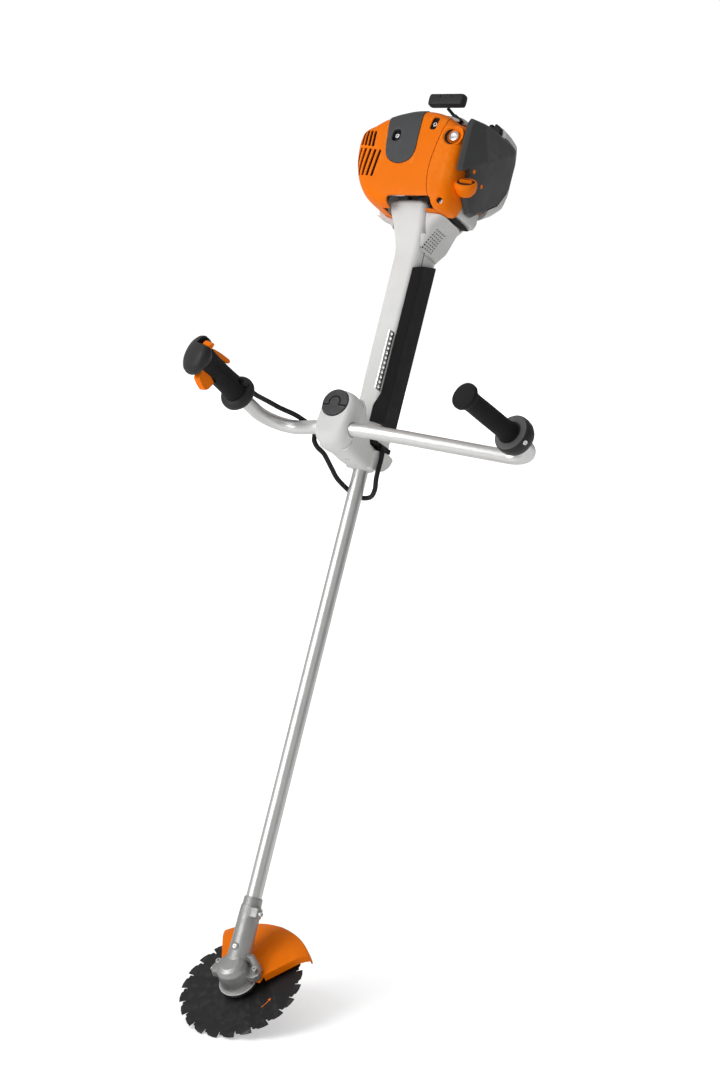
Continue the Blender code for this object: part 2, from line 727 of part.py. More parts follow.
def build_pad():
    back = [(38.5, 22), (34, 29)]
    upper = [(23.5, -34.0), (26.0, -34.6), (38.5, -16), *back, (29.4, 29), (29.4, -21)]
    lower = [(14, -34.2), (16, -37), (38.0, -18), *back, (28.6, 29), (28.6, -20.5)]
    lip = [(14, -34.2), (16, -38), (38.5, -19), *back, (28.6, 29), (28.6, -20.5)]
    middle = blend_outline(upper, lip, 0.5)
    rings = [(lower, 1005), (lip, 1032), (middle, 1042), (upper, 1058), (upper, 1312)]
    pad = loft("leg_pad", [[(x, y, z) for x, y in ring] for ring, z in rings])
    cut(pad, place_cutter(leg_solid("pad_fit", -0.5), TUBE))
    place(pad, TUBE, "rubber")


def blend_outline(first, second, t):
    return [(a[0] * (1 - t) + b[0] * t, a[1] * (1 - t) + b[1] * t) for a, b in zip(first, second)]


def build_harness_strip():
    strip = box("harness_strip", (18.6, -52, 1062), (21.2, -34.6, 1176))
    cut(strip, place_cutter(strip_pins([1070 + 12.4 * i for i in range(9)]), TUBE))
    place(strip, TUBE, "aluminium")


def strip_pins(heights):
    bm = bmesh.new()
    turn = Matrix.Rotation(math.pi / 2, 4, "Y")
    for z in heights:
        matrix = Matrix.Translation(Vector((20, -44.5, z)) * MM) @ turn
        bmesh.ops.create_cone(
            bm, cap_ends=True, segments=10, radius1=4.3 * MM, radius2=4.3 * MM, depth=0.02, matrix=matrix
        )
    return mesh_object("strip_holes", bm)


# --- engine ---

SHROUD = [(-45, 1400), (-78, 1413), (-104, 1444), (-119, 1482), (-124, 1522), (-122, 1548)]
SHROUD += [(-104, 1561), (-64, 1571), (0, 1580), (48, 1577), (88, 1566), (107, 1560), (107, 1412)]
SHROUD += [(98, 1394), (60, 1400)]
SHROUD_CENTRE = (-5, 1490)
SHROUD_LEVELS = [(-18, 1.0), (40, 1.0), (72, 0.995), (86, 0.97), (96, 0.915), (101.5, 0.84)]
SHROUD_LEVELS.append((104, 0.74))


def shroud_solid(name, grow, low, high_shift):
    upper = [(u + high_shift, factor) for u, factor in SHROUD_LEVELS[1:]]
    levels = [(low, SHROUD_LEVELS[0][1])] + [level for level in upper if level[0] > low + 1]
    rings = []
    for u, factor in levels:
        outline = rounded(scaled(SHROUD, factor * grow, SHROUD_CENTRE), 9, 1)
        rings.append([(x, z, u) for x, z in outline])
    return loft(name, rings)


def shroud_seam(name, side):
    """Cutter that removes one side of the curved seam down the top face."""
    line = [(52, 1640), (64, 1569), (57, 1520), (51, 1469), (56, 1440), (69, 1400), (72, 1360)]
    edge = [(x - side * GAP / 2, z) for x, z in line]
    far = [(side * 220, 1360), (side * 220, 1640)]
    outline = edge + far
    outline = outline[::-1] if side > 0 else outline
    return prism(name, outline, -60, 140)


def plug_cover_outline(grow):
    shape = [(-66, 1620), (11, 1620), (15, 1503), (9, 1486), (-10, 1477), (-30, 1480), (-45, 1491)]
    shape.append((-50, 1510))
    return scaled(shape, grow, (-24, 1530))


def slot_cutter():
    """Two banks of cooling slots in the left shoulder of the shroud."""
    bm = bmesh.new()
    banks = [(4, -114, 10.0, 1531, 28, 0.05), (5, -107, 12.0, 1481, 50, -0.12)]
    for count, start, pitch, z, length, lean in banks:
        for i in range(count):
            centre = Vector((start + pitch * i, z - i * 1.5, 95)) * MM
            size = Vector((4.2, length, 80)) * MM
            matrix = Matrix.Translation(centre) @ Matrix.Rotation(lean, 4, "Z") @ Matrix.Diagonal((*size, 1))
            bmesh.ops.create_cube(bm, size=1, matrix=matrix)
    return mesh_object("shroud_slots", bm)


def build_shroud():
    for name, side in (("shroud_left", 1), ("shroud_right", -1)):
        shell = shroud_solid(name, 1.0, -18, 0)
        if side < 0:
            cut(shell, place_cutter(choke_collar("choke_collar", 0, 0), CHOKE), "UNION")
        cut(shell, place_cutter(shroud_solid(f"{name}_hollow", 0.965, -60, -4.0), ENGINE))
        cut(shell, place_cutter(shroud_seam(f"{name}_seam", side), ENGINE))
        notch = box(f"{name}_leg_notch", (-49, 1380, -30), (50, 1430, 130))
        cut(shell, place_cutter(notch, ENGINE))
        if side > 0:
            cover = prism("plug_cover_opening", plug_cover_outline(1.0), 58, 140)
            cut(shell, place_cutter(cover, ENGINE))
            cut(shell, place_cutter(slot_cutter(), ENGINE))
        else:
            opening = box("filter_opening", (88, 1428, -60), (130, 1552, 84))
            cut(shell, place_cutter(opening, ENGINE))
            cut(shell, place_cutter(rod("choke_dish", 16.5, -6, 30, 24), CHOKE))
            cut(shell, place_cutter(rod("choke_stem_hole", 4.4, -20, 10, 12), CHOKE))
            cut(shell, place_cutter(rod("valve_hole", 10.5, 60, 140, 20), VALVE))
            dish = turned("valve_dish", [(0, 130), (30, 130), (13, 90), (0, 90)], 20)
            cut(shell, place_cutter(dish, VALVE))
            boss = rod("shroud_screw_boss", 6.8, 80, 94, 14)
            cut(shell, place_cutter(boss, SHROUD_SCREW), "UNION")
            cut(shell, place_cutter(rod("shroud_screw_seat", 5.2, 90, 140, 12), SHROUD_SCREW))
            cut(shell, place_cutter(rod("shroud_screw_hole", 2.9, 60, 100, 12), SHROUD_SCREW))
        place(shell, ENGINE, "orange")


CHOKE = frame_along(world(*CHOKE_CENTRE), CHOKE_AXIS)
VALVE = ENGINE @ Matrix.Translation((84, 1536, 0))
SHROUD_SCREW = ENGINE @ Matrix.Translation((86, 1410, 0))


def choke_collar(name, grow, top):
    profile = [(0, top), (18.5 + grow, top), (20.5 + grow, -2), (26 + grow, -22)]
    profile += [(27 + grow, -34 - grow), (0, -34 - grow)]
    return turned(name, profile, 28)


def build_choke():
    disc = [(0, -2.2), (16.0, -2.2), (16.0, -5.6), (4.0, -5.6), (4.0, -16), (0, -16)]
    knob = turned("choke_knob", disc, 24)
    bar = box("choke_bar", (-12, -3, -3), (12, 3, 3.5))
    cut(knob, place_cutter(bar, CHOKE), "UNION")
    place(knob, CHOKE, "black")


def build_valve():
    profile = [(0, 100), (6.5, 100), (9.5, 98), (9.5, 93), (6.0, 92), (6.0, 82), (0, 82)]
    place(turned("decompression_valve", profile, 18), VALVE, "steel")


def build_plug_cover():
    cover = shroud_solid("spark_plug_cover", 1.006, 58 + GAP, 1.2)
    cut(cover, place_cutter(shroud_solid("plug_cover_hollow", 0.965, -60, -4.0), ENGINE))
    keep = prism("plug_cover_keep", plug_cover_outline(0.99), 50, 140)
    cut(cover, place_cutter(keep, ENGINE), "INTERSECT")
    hole = rod("plug_screw_hole", 2.9, 60, 140, 12)
    cut(cover, place_cutter(hole, ENGINE @ Matrix.Translation((-33, 1534, 0))))
    place(cover, ENGINE, "dark")
    cap_screw("plug_cover_screw", ENGINE @ Matrix.Translation((-33, 1534, 105.6)), 2.5, 18, 4.4, 3.4)
    cap_screw("shroud_screw", SHROUD_SCREW @ Matrix.Translation((0, 0, 90.4)), 2.5, 14, 4.4, 3.4)


COVER_RINGS = [
    (
        COVER_X,
        [(103, 1560), (103, 1470), (100, 1425), (70, 1402), (20, 1412), (-50, 1462), (-78, 1508)]
        + [(-80, 1565), (-70, 1588), (-30, 1592), (60, 1582), (95, 1574)],
    ),
    (
        118,
        [(99, 1559), (97, 1470), (93, 1428), (66, 1406), (22, 1416), (-48, 1466), (-76, 1510)]
        + [(-78, 1563), (-68, 1586), (-32, 1589), (60, 1579), (91, 1571)],
    ),
    (
        129,
        [(72, 1560), (64, 1512), (56, 1510), (44, 1509), (8, 1508), (-27, 1509), (-60, 1538)]
        + [(-66, 1560), (-60, 1576), (-30, 1581), (50, 1575), (66, 1569)],
    ),
]


def cover_solid(name, grow, shift, start=None):
    rings = []
    for i, (x, outline) in enumerate(COVER_RINGS):
        x = start if i == 0 and start is not None else x + shift
        rings.append([(x, -u, z) for u, z in scaled(outline, grow, (5, 1510))])
    return loft(name, rings)


def build_filter():
    cover = cover_solid("filter_cover", 1.0, 0)
    cut(cover, place_cutter(cover_solid("filter_cover_hollow", 0.955, -3.0, 90), TUBE))
    cut(cover, place_cutter(choke_collar("cover_choke_gap", 1.0, 20), CHOKE))
    place(cover, TUBE, "dark")
    outline = rounded(rectangle(-52, 12, 1448, 1540), 14, 3)
    element = loft("air_filter", [[(x, y, z) for y, z in outline] for x in (86, 112)])
    place(element, TUBE, "dark")
    carburettor = loft(
        "carburettor",
        [[(x, y, z) for y, z in rounded(rectangle(-54, -12, 1458, 1502), 8, 2)] for x in (44, 82)],
    )
    place(carburettor, TUBE, "cast")


TANK_LEVELS = [
    (-95, -80, 98, 1494, 1586),
    (-90, -96, 110, 1480, 1598),
    (-72, -110, 118, 1456, 1608),
    (-50, -114, 119, 1434, 1611),
    (-20, -116, 119, 1412, 1612),
]


def build_tank():
    rings = []
    for u, x0, x1, z0, z1 in TANK_LEVELS:
        outline = rounded(rectangle(x0, x1, z0, z1), 24, 4)
        rings.append([(x, z, u) for x, z in outline])
    tank = loft("fuel_tank", rings)
    room = box("engine_room", (-100, 1404, -53), (100, 1597, 40))
    cut(tank, place_cutter(room, ENGINE))
    cut(tank, place_cutter(cover_solid("tank_cover_gap", 1.012, 1, 107), TUBE))
    cut(tank, place_cutter(rod("filler_recess", 16.6, -41, 40, 24), CAP))
    cut(tank, place_cutter(rod("filler_neck", 11.0, -48, 0, 20), CAP))
    place(tank, ENGINE, "pale")
    cap = turned(
        "fuel_cap",
        [(0, -19), (12, -19), (15, -21), (15.5, -38), (10.5, -38), (10.5, -45), (0, -45)],
        20,
    )
    notches = [((-3, -18, -26), (3, -12, 0)), ((-3, 12, -26), (3, 18, 0))]
    cut(cap, place_cutter(boxes("cap_grip_notches", notches), CAP))
    place(cap, CAP, "black")


CAP = ENGINE @ Matrix.Translation((92, 1598, 0))


def build_clutch_housing():
    levels = [
        (1345, -34, 40, -46, 38),
        (1362, -38, 52, -50, 40),
        (1378, -52, 78, -58, 44),
        (1394, -72, 100, -64, 48),
        (1408, -88, 106, -66, 48),
    ]
    rings = []
    for z, x0, x1, y0, y1 in levels:
        outline = rounded(rectangle(x0, x1, y0, y1), 18, 3)
        rings.append([(x, y, z) for x, y in outline])
    housing = loft("clutch_housing", rings)
    cut(housing, place_cutter(rod("clutch_room", 36, 1374, 1430, 24), TUBE))
    cut(housing, place_cutter(rod("clutch_bearing_bore", 14.6, 1300, 1400, 20), TUBE))
    cut(housing, place_cutter(leg_solid("housing_leg_gap", -1.2, 960, 1440), TUBE))
    cut(housing, place_cutter(shroud_solid("housing_shroud_gap", 1.01, -19, 1), ENGINE))
    place(housing, TUBE, "pale")


def build_power_unit():
    case = [(8.6, 1524), (30, 1524), (40, 1512), (40, 1416), (34, 1409.5), (8.6, 1409.5)]
    place(turned("crankcase", case, 20, hollow=True), TUBE, "cast")
    shaft = [(0, 1562), (6, 1562), (8, 1558), (8, 1382), (0, 1382)]
    place(turned("crankshaft", shaft, 12), TUBE, "steel")
    wheel = [(8.4, 1552), (34, 1552), (46, 1548), (46, 1532), (8.4, 1530)]
    place(turned("flywheel", wheel, 24, hollow=True), TUBE, "cast")
    fins = [(0, 86)]
    for i in range(5):
        top = 86 - i * 8.9
        fins += [(33, top), (33, top - 3.2), (24, top - 3.6), (24, top - 8.4)]
    fins += [(24, 40.8), (0, 40.8)]
    place(turned("cylinder", fins, 14), ENGINE @ Matrix.Translation((0, 1470, 0)), "cast")
    plug = [(0, 40), (3, 40), (3, 28), (5, 27), (5, 12), (7.5, 11), (7.5, 4), (5, 3.5), (5, 0), (0, 0)]
    place(turned("spark_plug", plug, 12), frame_along(world(-16, 74, 1505), Vector((0, 0, 1))), "steel")
    muffler = loft(
        "muffler",
        [[(x, z, u) for x, z in rounded(rectangle(-98, -44, 1458, 1529), 12, 3)] for u in (6, 72)],
    )
    place(muffler, ENGINE, "steel")


def build_starter():
    levels = [(1582.5, -66, 74, -16, 84), (1592, -62, 70, -16, 80), (1599, -50, 60, -16, 70)]
    rings = []
    for z, x0, x1, u0, u1 in levels:
        rings.append([(x, -u, z) for x, u in rounded(rectangle(x0, x1, u0, u1), 24, 4)][::-1])
    housing = loft("starter_housing", rings)
    start, end = world(*ROPE_START), world(*ROPE_END)
    axis = (end - start).normalized()
    rope_frame = frame_along(start, axis)
    length = (end - start).length
    cut(housing, place_cutter(rod("rope_hole", 6.5, -6, 60, 16), rope_frame))
    cut(housing, place_cutter(box("starter_seat", (-120, 1500, -40), (120, 1582.4, 140)), ENGINE))
    place(housing, TUBE, "pale")
    ribs = [(0, length - 5.4)]
    for i in range(4):
        top = length - 5.4 - i * 6
        ribs += [(4.6, top), (4.6, top - 3.0), (3.6, top - 3.4), (3.6, top - 5.6)]
    ribs += [(3.6, -4), (0, -4)]
    place(turned("starter_rope", ribs, 12), rope_frame, "rubber")
    outline = rounded(rectangle(-39, 39, -10, 10), 6, 2)
    grip_rings = [(0.90, 0), (0.985, 4), (1.0, 12), (0.97, 18), (0.90, 21)]
    grip = loft(
        "starter_grip",
        [[(x * (1.03 - 0.03 * f), y * f, z) for x, y in outline] for f, z in grip_rings],
    )
    place(grip, frame(end + Vector((1, 0, 0.3)), (1, 0, 0), (0, 1, 0), (0, 0, 1)), "black")


def hang_on_tilt_axis(names):
    """Parents the bar's parts to an empty on the axis about which the bar tilts."""
    pivot = bpy.data.objects.new("bar_tilt_axis", None)
    PARTS.objects.link(pivot)
    pivot.matrix_world = in_metres(CLAMP)
    bpy.context.view_layer.update()
    for name in names:
        part = bpy.data.objects[name]
        at = part.matrix_world.copy()
        part.parent = pivot
        part.matrix_parent_inverse = pivot.matrix_world.inverted()
        part.matrix_world = at


BAR_PARTS = ["handlebar", "left_grip", "grip_collar", "grip_screw", "control_flange"]
BAR_PARTS += ["control_shell_front", "control_shell_rear", "control_head", "throttle_trigger"]
BAR_PARTS += ["lockout_lever", "stop_switch"]

clear_scene()
PARTS = make_collection("brush_mower", False)
CUTTERS = make_collection("cutters", True)
build_blade()
build_arbor()
build_gears()
build_gearbox()
build_head_screws()
build_guard()
build_drive_line()
build_clamp()
build_handlebar()
build_plain_grip()
build_control_handle()
build_controls()
build_cable()
build_leg()
build_pad()
build_harness_strip()
build_shroud()
build_choke()
build_valve()
build_plug_cover()
build_filter()
build_tank()
build_clutch_housing()
build_power_unit()
build_starter()
hang_on_tilt_axis(BAR_PARTS)
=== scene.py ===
"""Studio picture of the brush mower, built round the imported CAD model."""
import json
import math

import bmesh
import bpy
from mathutils import Matrix, Vector


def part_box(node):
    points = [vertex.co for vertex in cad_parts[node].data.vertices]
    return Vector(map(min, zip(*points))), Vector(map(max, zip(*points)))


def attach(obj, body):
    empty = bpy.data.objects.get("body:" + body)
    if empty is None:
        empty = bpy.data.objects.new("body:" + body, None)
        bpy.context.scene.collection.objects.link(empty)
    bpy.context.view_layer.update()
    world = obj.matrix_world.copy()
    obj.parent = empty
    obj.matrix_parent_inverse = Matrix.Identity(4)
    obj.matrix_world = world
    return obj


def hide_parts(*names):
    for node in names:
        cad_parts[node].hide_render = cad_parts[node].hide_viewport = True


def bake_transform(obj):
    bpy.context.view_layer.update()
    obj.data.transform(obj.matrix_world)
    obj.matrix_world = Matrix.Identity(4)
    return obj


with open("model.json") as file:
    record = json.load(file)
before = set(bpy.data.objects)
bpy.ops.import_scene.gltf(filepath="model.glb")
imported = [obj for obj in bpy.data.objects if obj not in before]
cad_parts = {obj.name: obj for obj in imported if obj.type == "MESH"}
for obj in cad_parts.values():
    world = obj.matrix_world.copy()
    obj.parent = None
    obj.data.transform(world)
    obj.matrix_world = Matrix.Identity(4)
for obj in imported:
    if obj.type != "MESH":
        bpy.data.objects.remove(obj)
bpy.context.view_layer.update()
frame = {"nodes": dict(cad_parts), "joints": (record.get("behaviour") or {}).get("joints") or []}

MM = 0.001

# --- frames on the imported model's joints and boxes; lengths in millimetres ---

JOINTS = {joint["name"]: joint for joint in frame["joints"]}


def pivot(name):
    return Vector(JOINTS[name]["pos_m"]) / MM


def axis_of(name):
    return Vector(JOINTS[name]["axis"]).normalized()


def axes(origin, x, y, z):
    matrix = Matrix((x, y, z)).transposed().to_4x4()
    matrix.translation = origin
    return matrix


def along(origin, axis):
    matrix = axis.to_track_quat("Z", "Y").to_matrix().to_4x4()
    matrix.translation = origin
    return matrix


def at(x, y, z):
    return Matrix.Translation((x, y, z))


def box_mm(node):
    low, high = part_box(node)
    return low / MM, high / MM


def middle_mm(node):
    low, high = box_mm(node)
    return (low + high) / 2


X, Y, Z = Vector((1, 0, 0)), Vector((0, 1, 0)), Vector((0, 0, 1))
FRONT = Vector((0, -1, 0))
SIDEWAYS = Matrix.Rotation(math.pi / 2, 4, "Y")
N = axis_of("blade_spin")
G = axis_of("knob_turn")
CENTRE = pivot("blade_spin")
HEAD = axes(CENTRE, X, N.cross(X), N)
CLAMP = axes(pivot("bar_tilt"), X, G.cross(X), G)
WORLD = Matrix.Translation(CENTRE)
ENGINE = WORLD @ axes(Vector((0, 0, 0)), X, Z, FRONT)
CHOKE = along(pivot("choke_turn"), axis_of("choke_turn"))
CAP_PLACE = pivot("cap_turn") - CENTRE
CAP = ENGINE @ at(CAP_PLACE.x, CAP_PLACE.z, 0)
KNOB = CLAMP @ at(0, (pivot("knob_turn") - pivot("bar_tilt")).dot(G.cross(X)), 0)
TRIGGER_HEIGHT = 214
CONTROL_X = middle_mm("control_head").x - pivot("bar_tilt").x
CONTROL_RISE = (pivot("trigger_squeeze") - pivot("bar_tilt")).dot(G) - TRIGGER_HEIGHT
CONTROL = CLAMP @ at(CONTROL_X, 0, CONTROL_RISE)
GRIP_X = 367
GRIP_LEAN = math.radians(11.4)
GRIP = CLAMP @ at(GRIP_X, 0, 55) @ Matrix.Rotation(-GRIP_LEAN, 4, "Y")


# --- materials ---


def feed(tree, node, inputs):
    for key, value in inputs.items():
        if isinstance(value, bpy.types.NodeSocket):
            tree.links.new(value, node.inputs[key])
        else:
            node.inputs[key].default_value = value


def add(tree, kind, inputs=None, **settings):
    """The outputs of a new shader node; each input takes a value or another node's output."""
    node = tree.nodes.new("ShaderNode" + kind)
    for key, value in settings.items():
        setattr(node, key, value)
    feed(tree, node, inputs or {})
    return node.outputs


def mix_colour(tree, factor, a, b):
    return add(tree, "Mix", {"Factor": factor, "A": a, "B": b}, data_type="RGBA")["Result"]


def ramp(tree, value, low, high, out_low=0.0, out_high=1.0):
    limits = {"From Min": low, "From Max": high, "To Min": out_low, "To Max": out_high}
    return add(tree, "MapRange", {"Value": value, **limits})["Result"]


def noise(tree, place, scale, detail, stretch=(1, 1, 1)):
    moved = add(tree, "Mapping", {"Vector": place, "Scale": stretch})["Vector"]
    return add(tree, "TexNoise", {"Vector": moved, "Scale": scale, "Detail": detail})["Fac"]


def material(name, colour, rough, metallic=0.0, grain=900.0, bump=0.15, depth=0.0002, vary=0.06,
        wear=0.25, wear_colour=None, stretch=(1, 1, 1), spread=0.08, cells=False, gloss=0.3):
    """A procedural surface: broad tone changes, fine grain in the bump, patchy roughness and worn edges."""
    made = bpy.data.materials.new(name)
    made.use_nodes = True
    tree = made.node_tree
    place = add(tree, "TexCoord")["Object"]
    fine = noise(tree, place, grain, 2.0, stretch)
    dark = tuple(c * (1 - vary) for c in colour) + (1,)
    light = tuple(min(1, c * (1 + vary)) for c in colour) + (1,)
    base = mix_colour(tree, ramp(tree, noise(tree, place, 14.0, 4.0), 0.3, 0.7), dark, light)
    speck = mix_colour(tree, ramp(tree, fine, 0.35, 0.75, 0, vary), base, (0, 0, 0, 1))
    edge = ramp(tree, add(tree, "NewGeometry")["Pointiness"], 0.53, 0.62, 0, wear)
    patches = ramp(tree, noise(tree, place, 90.0, 5.0), 0.4, 0.65)
    amount = add(tree, "Math", {0: edge, 1: patches}, operation="MULTIPLY")["Value"]
    worn = wear_colour or tuple(min(1, c * 1.5 + 0.04) for c in colour)
    height = add(tree, "TexVoronoi", {"Vector": place, "Scale": grain})["Distance"] if cells else fine
    feed(tree, tree.nodes["Principled BSDF"], {
        "Base Color": mix_colour(tree, amount, speck, (*worn, 1)),
        "Roughness": ramp(tree, noise(tree, place, 35.0, 6.0), 0.3, 0.7, rough - spread, rough + spread),
        "Metallic": metallic,
        "Specular IOR Level": gloss,
        "Normal": add(tree, "Bump", {"Strength": bump, "Distance": depth, "Height": height})["Normal"],
    })
    return made


ORANGE = material("orange_plastic", (0.90, 0.185, 0.0), 0.42, grain=1400, bump=0.12, vary=0.035,
    gloss=0.1)
ORANGE_TRIM = material("orange_trim", (0.95, 0.195, 0.0), 0.42, grain=1200, vary=0.04, gloss=0.1)
BLACK = material("black_plastic", (0.018, 0.018, 0.019), 0.5, grain=1300, bump=0.3, wear=0.35,
    cells=True)
KNOB_BLACK = material("knob_plastic", (0.045, 0.045, 0.047), 0.5, grain=1500, bump=0.2, wear=0.3)
DARK = material("dark_grey_plastic", (0.056, 0.057, 0.059), 0.46, grain=1400, bump=0.22, cells=True)
PALE = material("pale_grey_plastic", (0.72, 0.72, 0.705), 0.44, grain=1300, bump=0.1, vary=0.025,
    wear=0.1)
PALE_WARM = material("shell_grey_plastic", (0.60, 0.60, 0.585), 0.48, grain=1200, bump=0.14,
    vary=0.03, wear=0.12)
RUBBER = material("grip_rubber", (0.013, 0.013, 0.014), 0.72, grain=1600, bump=0.45, wear=0.2,
    cells=True, gloss=0.15)
PAD = material("pad_rubber", (0.016, 0.016, 0.017), 0.66, grain=1900, bump=0.5, cells=True,
    gloss=0.2)
TUBE = material("drawn_aluminium", (0.70, 0.70, 0.69), 0.38, 1.0, grain=260, bump=0.08,
    depth=0.0001, vary=0.03, wear=0.0, stretch=(8, 8, 0.15), spread=0.05)
BAR = material("bar_aluminium", (0.72, 0.72, 0.71), 0.40, 1.0, grain=420, bump=0.08, depth=0.0001,
    vary=0.03, wear=0.0, spread=0.05)
CAST = material("cast_alloy", (0.40, 0.40, 0.39), 0.46, 0.8, grain=620, bump=0.6, depth=0.0004,
    vary=0.14, wear=0.5, wear_colour=(0.8, 0.8, 0.78), spread=0.12)
# Whitened bright metal: the flange rim's machined edge, made whiter to paint the highlight along it; also
# used for the handle ring's screw.
BRIGHT = material("bright_metal_and_painted_highlight", (0.92, 0.92, 0.91), 0.4, 0.4, grain=700, bump=0.1, vary=0.03)
STEEL = material("bright_steel", (0.66, 0.66, 0.67), 0.28, 1.0, bump=0.2)
BLADE = material("blade_black", (0.020, 0.020, 0.021), 0.42, 0.35, grain=700, bump=0.25,
    vary=0.12, wear=0.7, wear_colour=(0.16, 0.16, 0.16))
CABLE = material("cable_cover", (0.008, 0.008, 0.009), 0.5, grain=1300, bump=0.3, wear=0.1)
FELT = material("filter_felt", (0.55, 0.48, 0.33), 0.9, grain=1500, bump=0.8, wear=0.0)
# Lighter grey for the face of the black handle ring: painted light on its lit face.
COLLAR_FACE_PAINTED_LIGHT = material("collar_face_painted_light", (0.115, 0.115, 0.118), 0.5, grain=1400, bump=0.2, wear=0.2,
    cells=True)
# Near-black for blocks and sheets put in hollows, gaps and grooves: painted shade where there is only
# shade.
PAINTED_SHADE = material("painted_shade_dark", (0.006, 0.006, 0.006), 0.8, bump=0.2, wear=0.0)


# --- mesh tools; all lengths in millimetres ---


def paint(mesh, look, angle):
    """One material, and smooth shading up to an edge angle in degrees."""
    mesh.polygons.foreach_set("use_smooth", [True] * len(mesh.polygons))
    mesh.set_sharp_from_angle(angle=math.radians(angle))
    mesh.materials.clear()
    mesh.materials.append(look)


def link(name, bm):
    mesh = bpy.data.meshes.new(name)
    bm.to_mesh(mesh)
    bm.free()
    obj = bpy.data.objects.new(name, mesh)
    bpy.context.scene.collection.objects.link(obj)
    return obj


def object_from(name, bm, matrix=WORLD):
    """A mesh object in metres, with its own origin at the world's."""
    bmesh.ops.recalc_face_normals(bm, faces=bm.faces)
    bm.transform(Matrix.Diagonal((MM, MM, MM, 1)) @ matrix)
    return link(name, bm)


def modify(obj, kind, **settings):
    modifier = obj.modifiers.new(kind, kind)
    for key, value in settings.items():
        setattr(modifier, key, value)


def bake(obj):
    """Applies the modifiers."""
    graph = bpy.context.evaluated_depsgraph_get()
    mesh = bpy.data.meshes.new_from_object(obj.evaluated_get(graph))
    obj.modifiers.clear()
    obj.data = mesh
    return obj


def carve(obj, *cutters, operation="DIFFERENCE"):
    for cutter in cutters:
        modify(obj, "BOOLEAN", operation=operation, solver="EXACT", object=cutter)
    bake(obj)
    for cutter in cutters:
        bpy.data.objects.remove(cutter)
    return obj


def bevel(obj, width, segments=2, angle=30):
    modify(obj, "BEVEL", width=width * MM, segments=segments, limit_method="ANGLE",
           angle_limit=math.radians(angle), use_clamp_overlap=True, harden_normals=False)
    return bake(obj)


def thicken(obj, thickness):
    modify(obj, "SOLIDIFY", thickness=thickness * MM, offset=-1, use_even_offset=True)
    return bake(obj)


def melt(obj, voxel, passes):
    """Joins overlapping shapes into one skin with soft fillets, as in a casting."""
    modify(obj, "REMESH", mode="VOXEL", voxel_size=voxel * MM)
    modify(obj, "SMOOTH", factor=0.5, iterations=passes)
    return bake(obj)


def join(name, objects):
    bm = bmesh.new()
    for obj in objects:
        bm.from_mesh(obj.data)
        bpy.data.objects.remove(obj)
    return link(name, bm)


def dress(obj, look, node=None, angle=32):
    """Smooth shading and material, and the CAD node that the piece stands for."""
    paint(obj.data, look, angle)
    modify(obj, "WEIGHTED_NORMAL", keep_sharp=True)
    bake(obj)
    if node:
        paint(frame["nodes"][node].data, look, 30)
        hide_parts(node)


def piece(obj, look, node=None, angle=32, body="machine"):
    """A finished piece that rides on one body."""
    dress(obj, look, node, angle)
    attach(obj, body)


def circle(count):
    turns = [2 * math.pi * i / count for i in range(count)]
    return [(math.cos(turn), math.sin(turn)) for turn in turns]


def skin(name, rings, matrix=WORLD, closed=True):
    """A skin over rings of points; a closed one joins each ring's ends and caps the first and last ring."""
    bm = bmesh.new()
    rows = [[bm.verts.new(point) for point in ring] for ring in rings]
    count = len(rows[0])
    for lower, upper in zip(rows, rows[1:]):
        for i in range(count if closed else count - 1):
            j = (i + 1) % count
            bm.faces.new((lower[i], lower[j], upper[j], upper[i]))
    if closed:
        bm.faces.new(rows[0][::-1])
        bm.faces.new(rows[-1])
    return object_from(name, bm, matrix)


def loft(name, sections, matrix=WORLD):
    """A solid over (outline, height) sections."""
    return skin(name, [[(x, y, z) for x, y in outline] for outline, z in sections], matrix)


def prism(name, outline, low, high, matrix=WORLD):
    return loft(name, [(outline, low), (outline, high)], matrix)


def spin(name, profile, segments, matrix=WORLD, hollow=False):
    """A turned solid from (radius, height) points; radius 0 makes a pole."""
    bm = bmesh.new()
    rows = []
    for radius, height in profile:
        turns = circle(segments) if radius > 0 else [(0, 0)]
        rows.append([bm.verts.new((radius * c, radius * s, height)) for c, s in turns])
    pairs = list(zip(rows, rows[1:]))
    if hollow:
        pairs.append((rows[-1], rows[0]))
    for a, b in pairs:
        for i in range(segments):
            j = (i + 1) % segments
            corners = [a[i % len(a)], a[j % len(a)], b[j % len(b)], b[i % len(b)]]
            unique = list(dict.fromkeys(corners))
            if len(unique) > 2:
                bm.faces.new(unique)
    return object_from(name, bm, matrix)


def rod(name, radius, low, high, segments, matrix=WORLD):
    return spin(name, [(0, low), (radius, low), (radius, high), (0, high)], segments, matrix)


def rectangle(x0, x1, y0, y1):
    return [(x0, y0), (x1, y0), (x1, y1), (x0, y1)]


def block(name, low, high, matrix=WORLD):
    return prism(name, rectangle(low[0], high[0], low[1], high[1]), low[2], high[2], matrix)


def round_corners(outline, radius, steps=5):
    found = []
    for i, here in enumerate(outline):
        here = Vector(here)
        before = Vector(outline[i - 1]) - here
        after = Vector(outline[(i + 1) % len(outline)]) - here
        reach = min(radius, before.length * 0.49, after.length * 0.49)
        start, end = here + before.normalized() * reach, here + after.normalized() * reach
        for k in range(steps + 1):
            t = k / steps
            bend = start * (1 - t) ** 2 + here * 2 * t * (1 - t) + end * t ** 2
            found.append((bend.x, bend.y))
    return found


def anticlockwise(outline):
    area = sum(a[0] * b[1] - b[0] * a[1] for a, b in zip(outline, outline[1:] + outline[:1]))
    return outline if area > 0 else outline[::-1]


def scaled(outline, factor, centre=(0, 0)):
    return [(centre[0] + (x - centre[0]) * factor, centre[1] + (y - centre[1]) * factor) for x,
        y in outline]


def arc(radius, start, end, steps):
    turns = [math.radians(start + (end - start) * i / steps) for i in range(steps + 1)]
    return [(radius * math.cos(t), radius * math.sin(t)) for t in turns]


def ring_sector(inner, outer, start, end, steps):
    return arc(outer, start, end, steps) + arc(inner, end, start, steps)


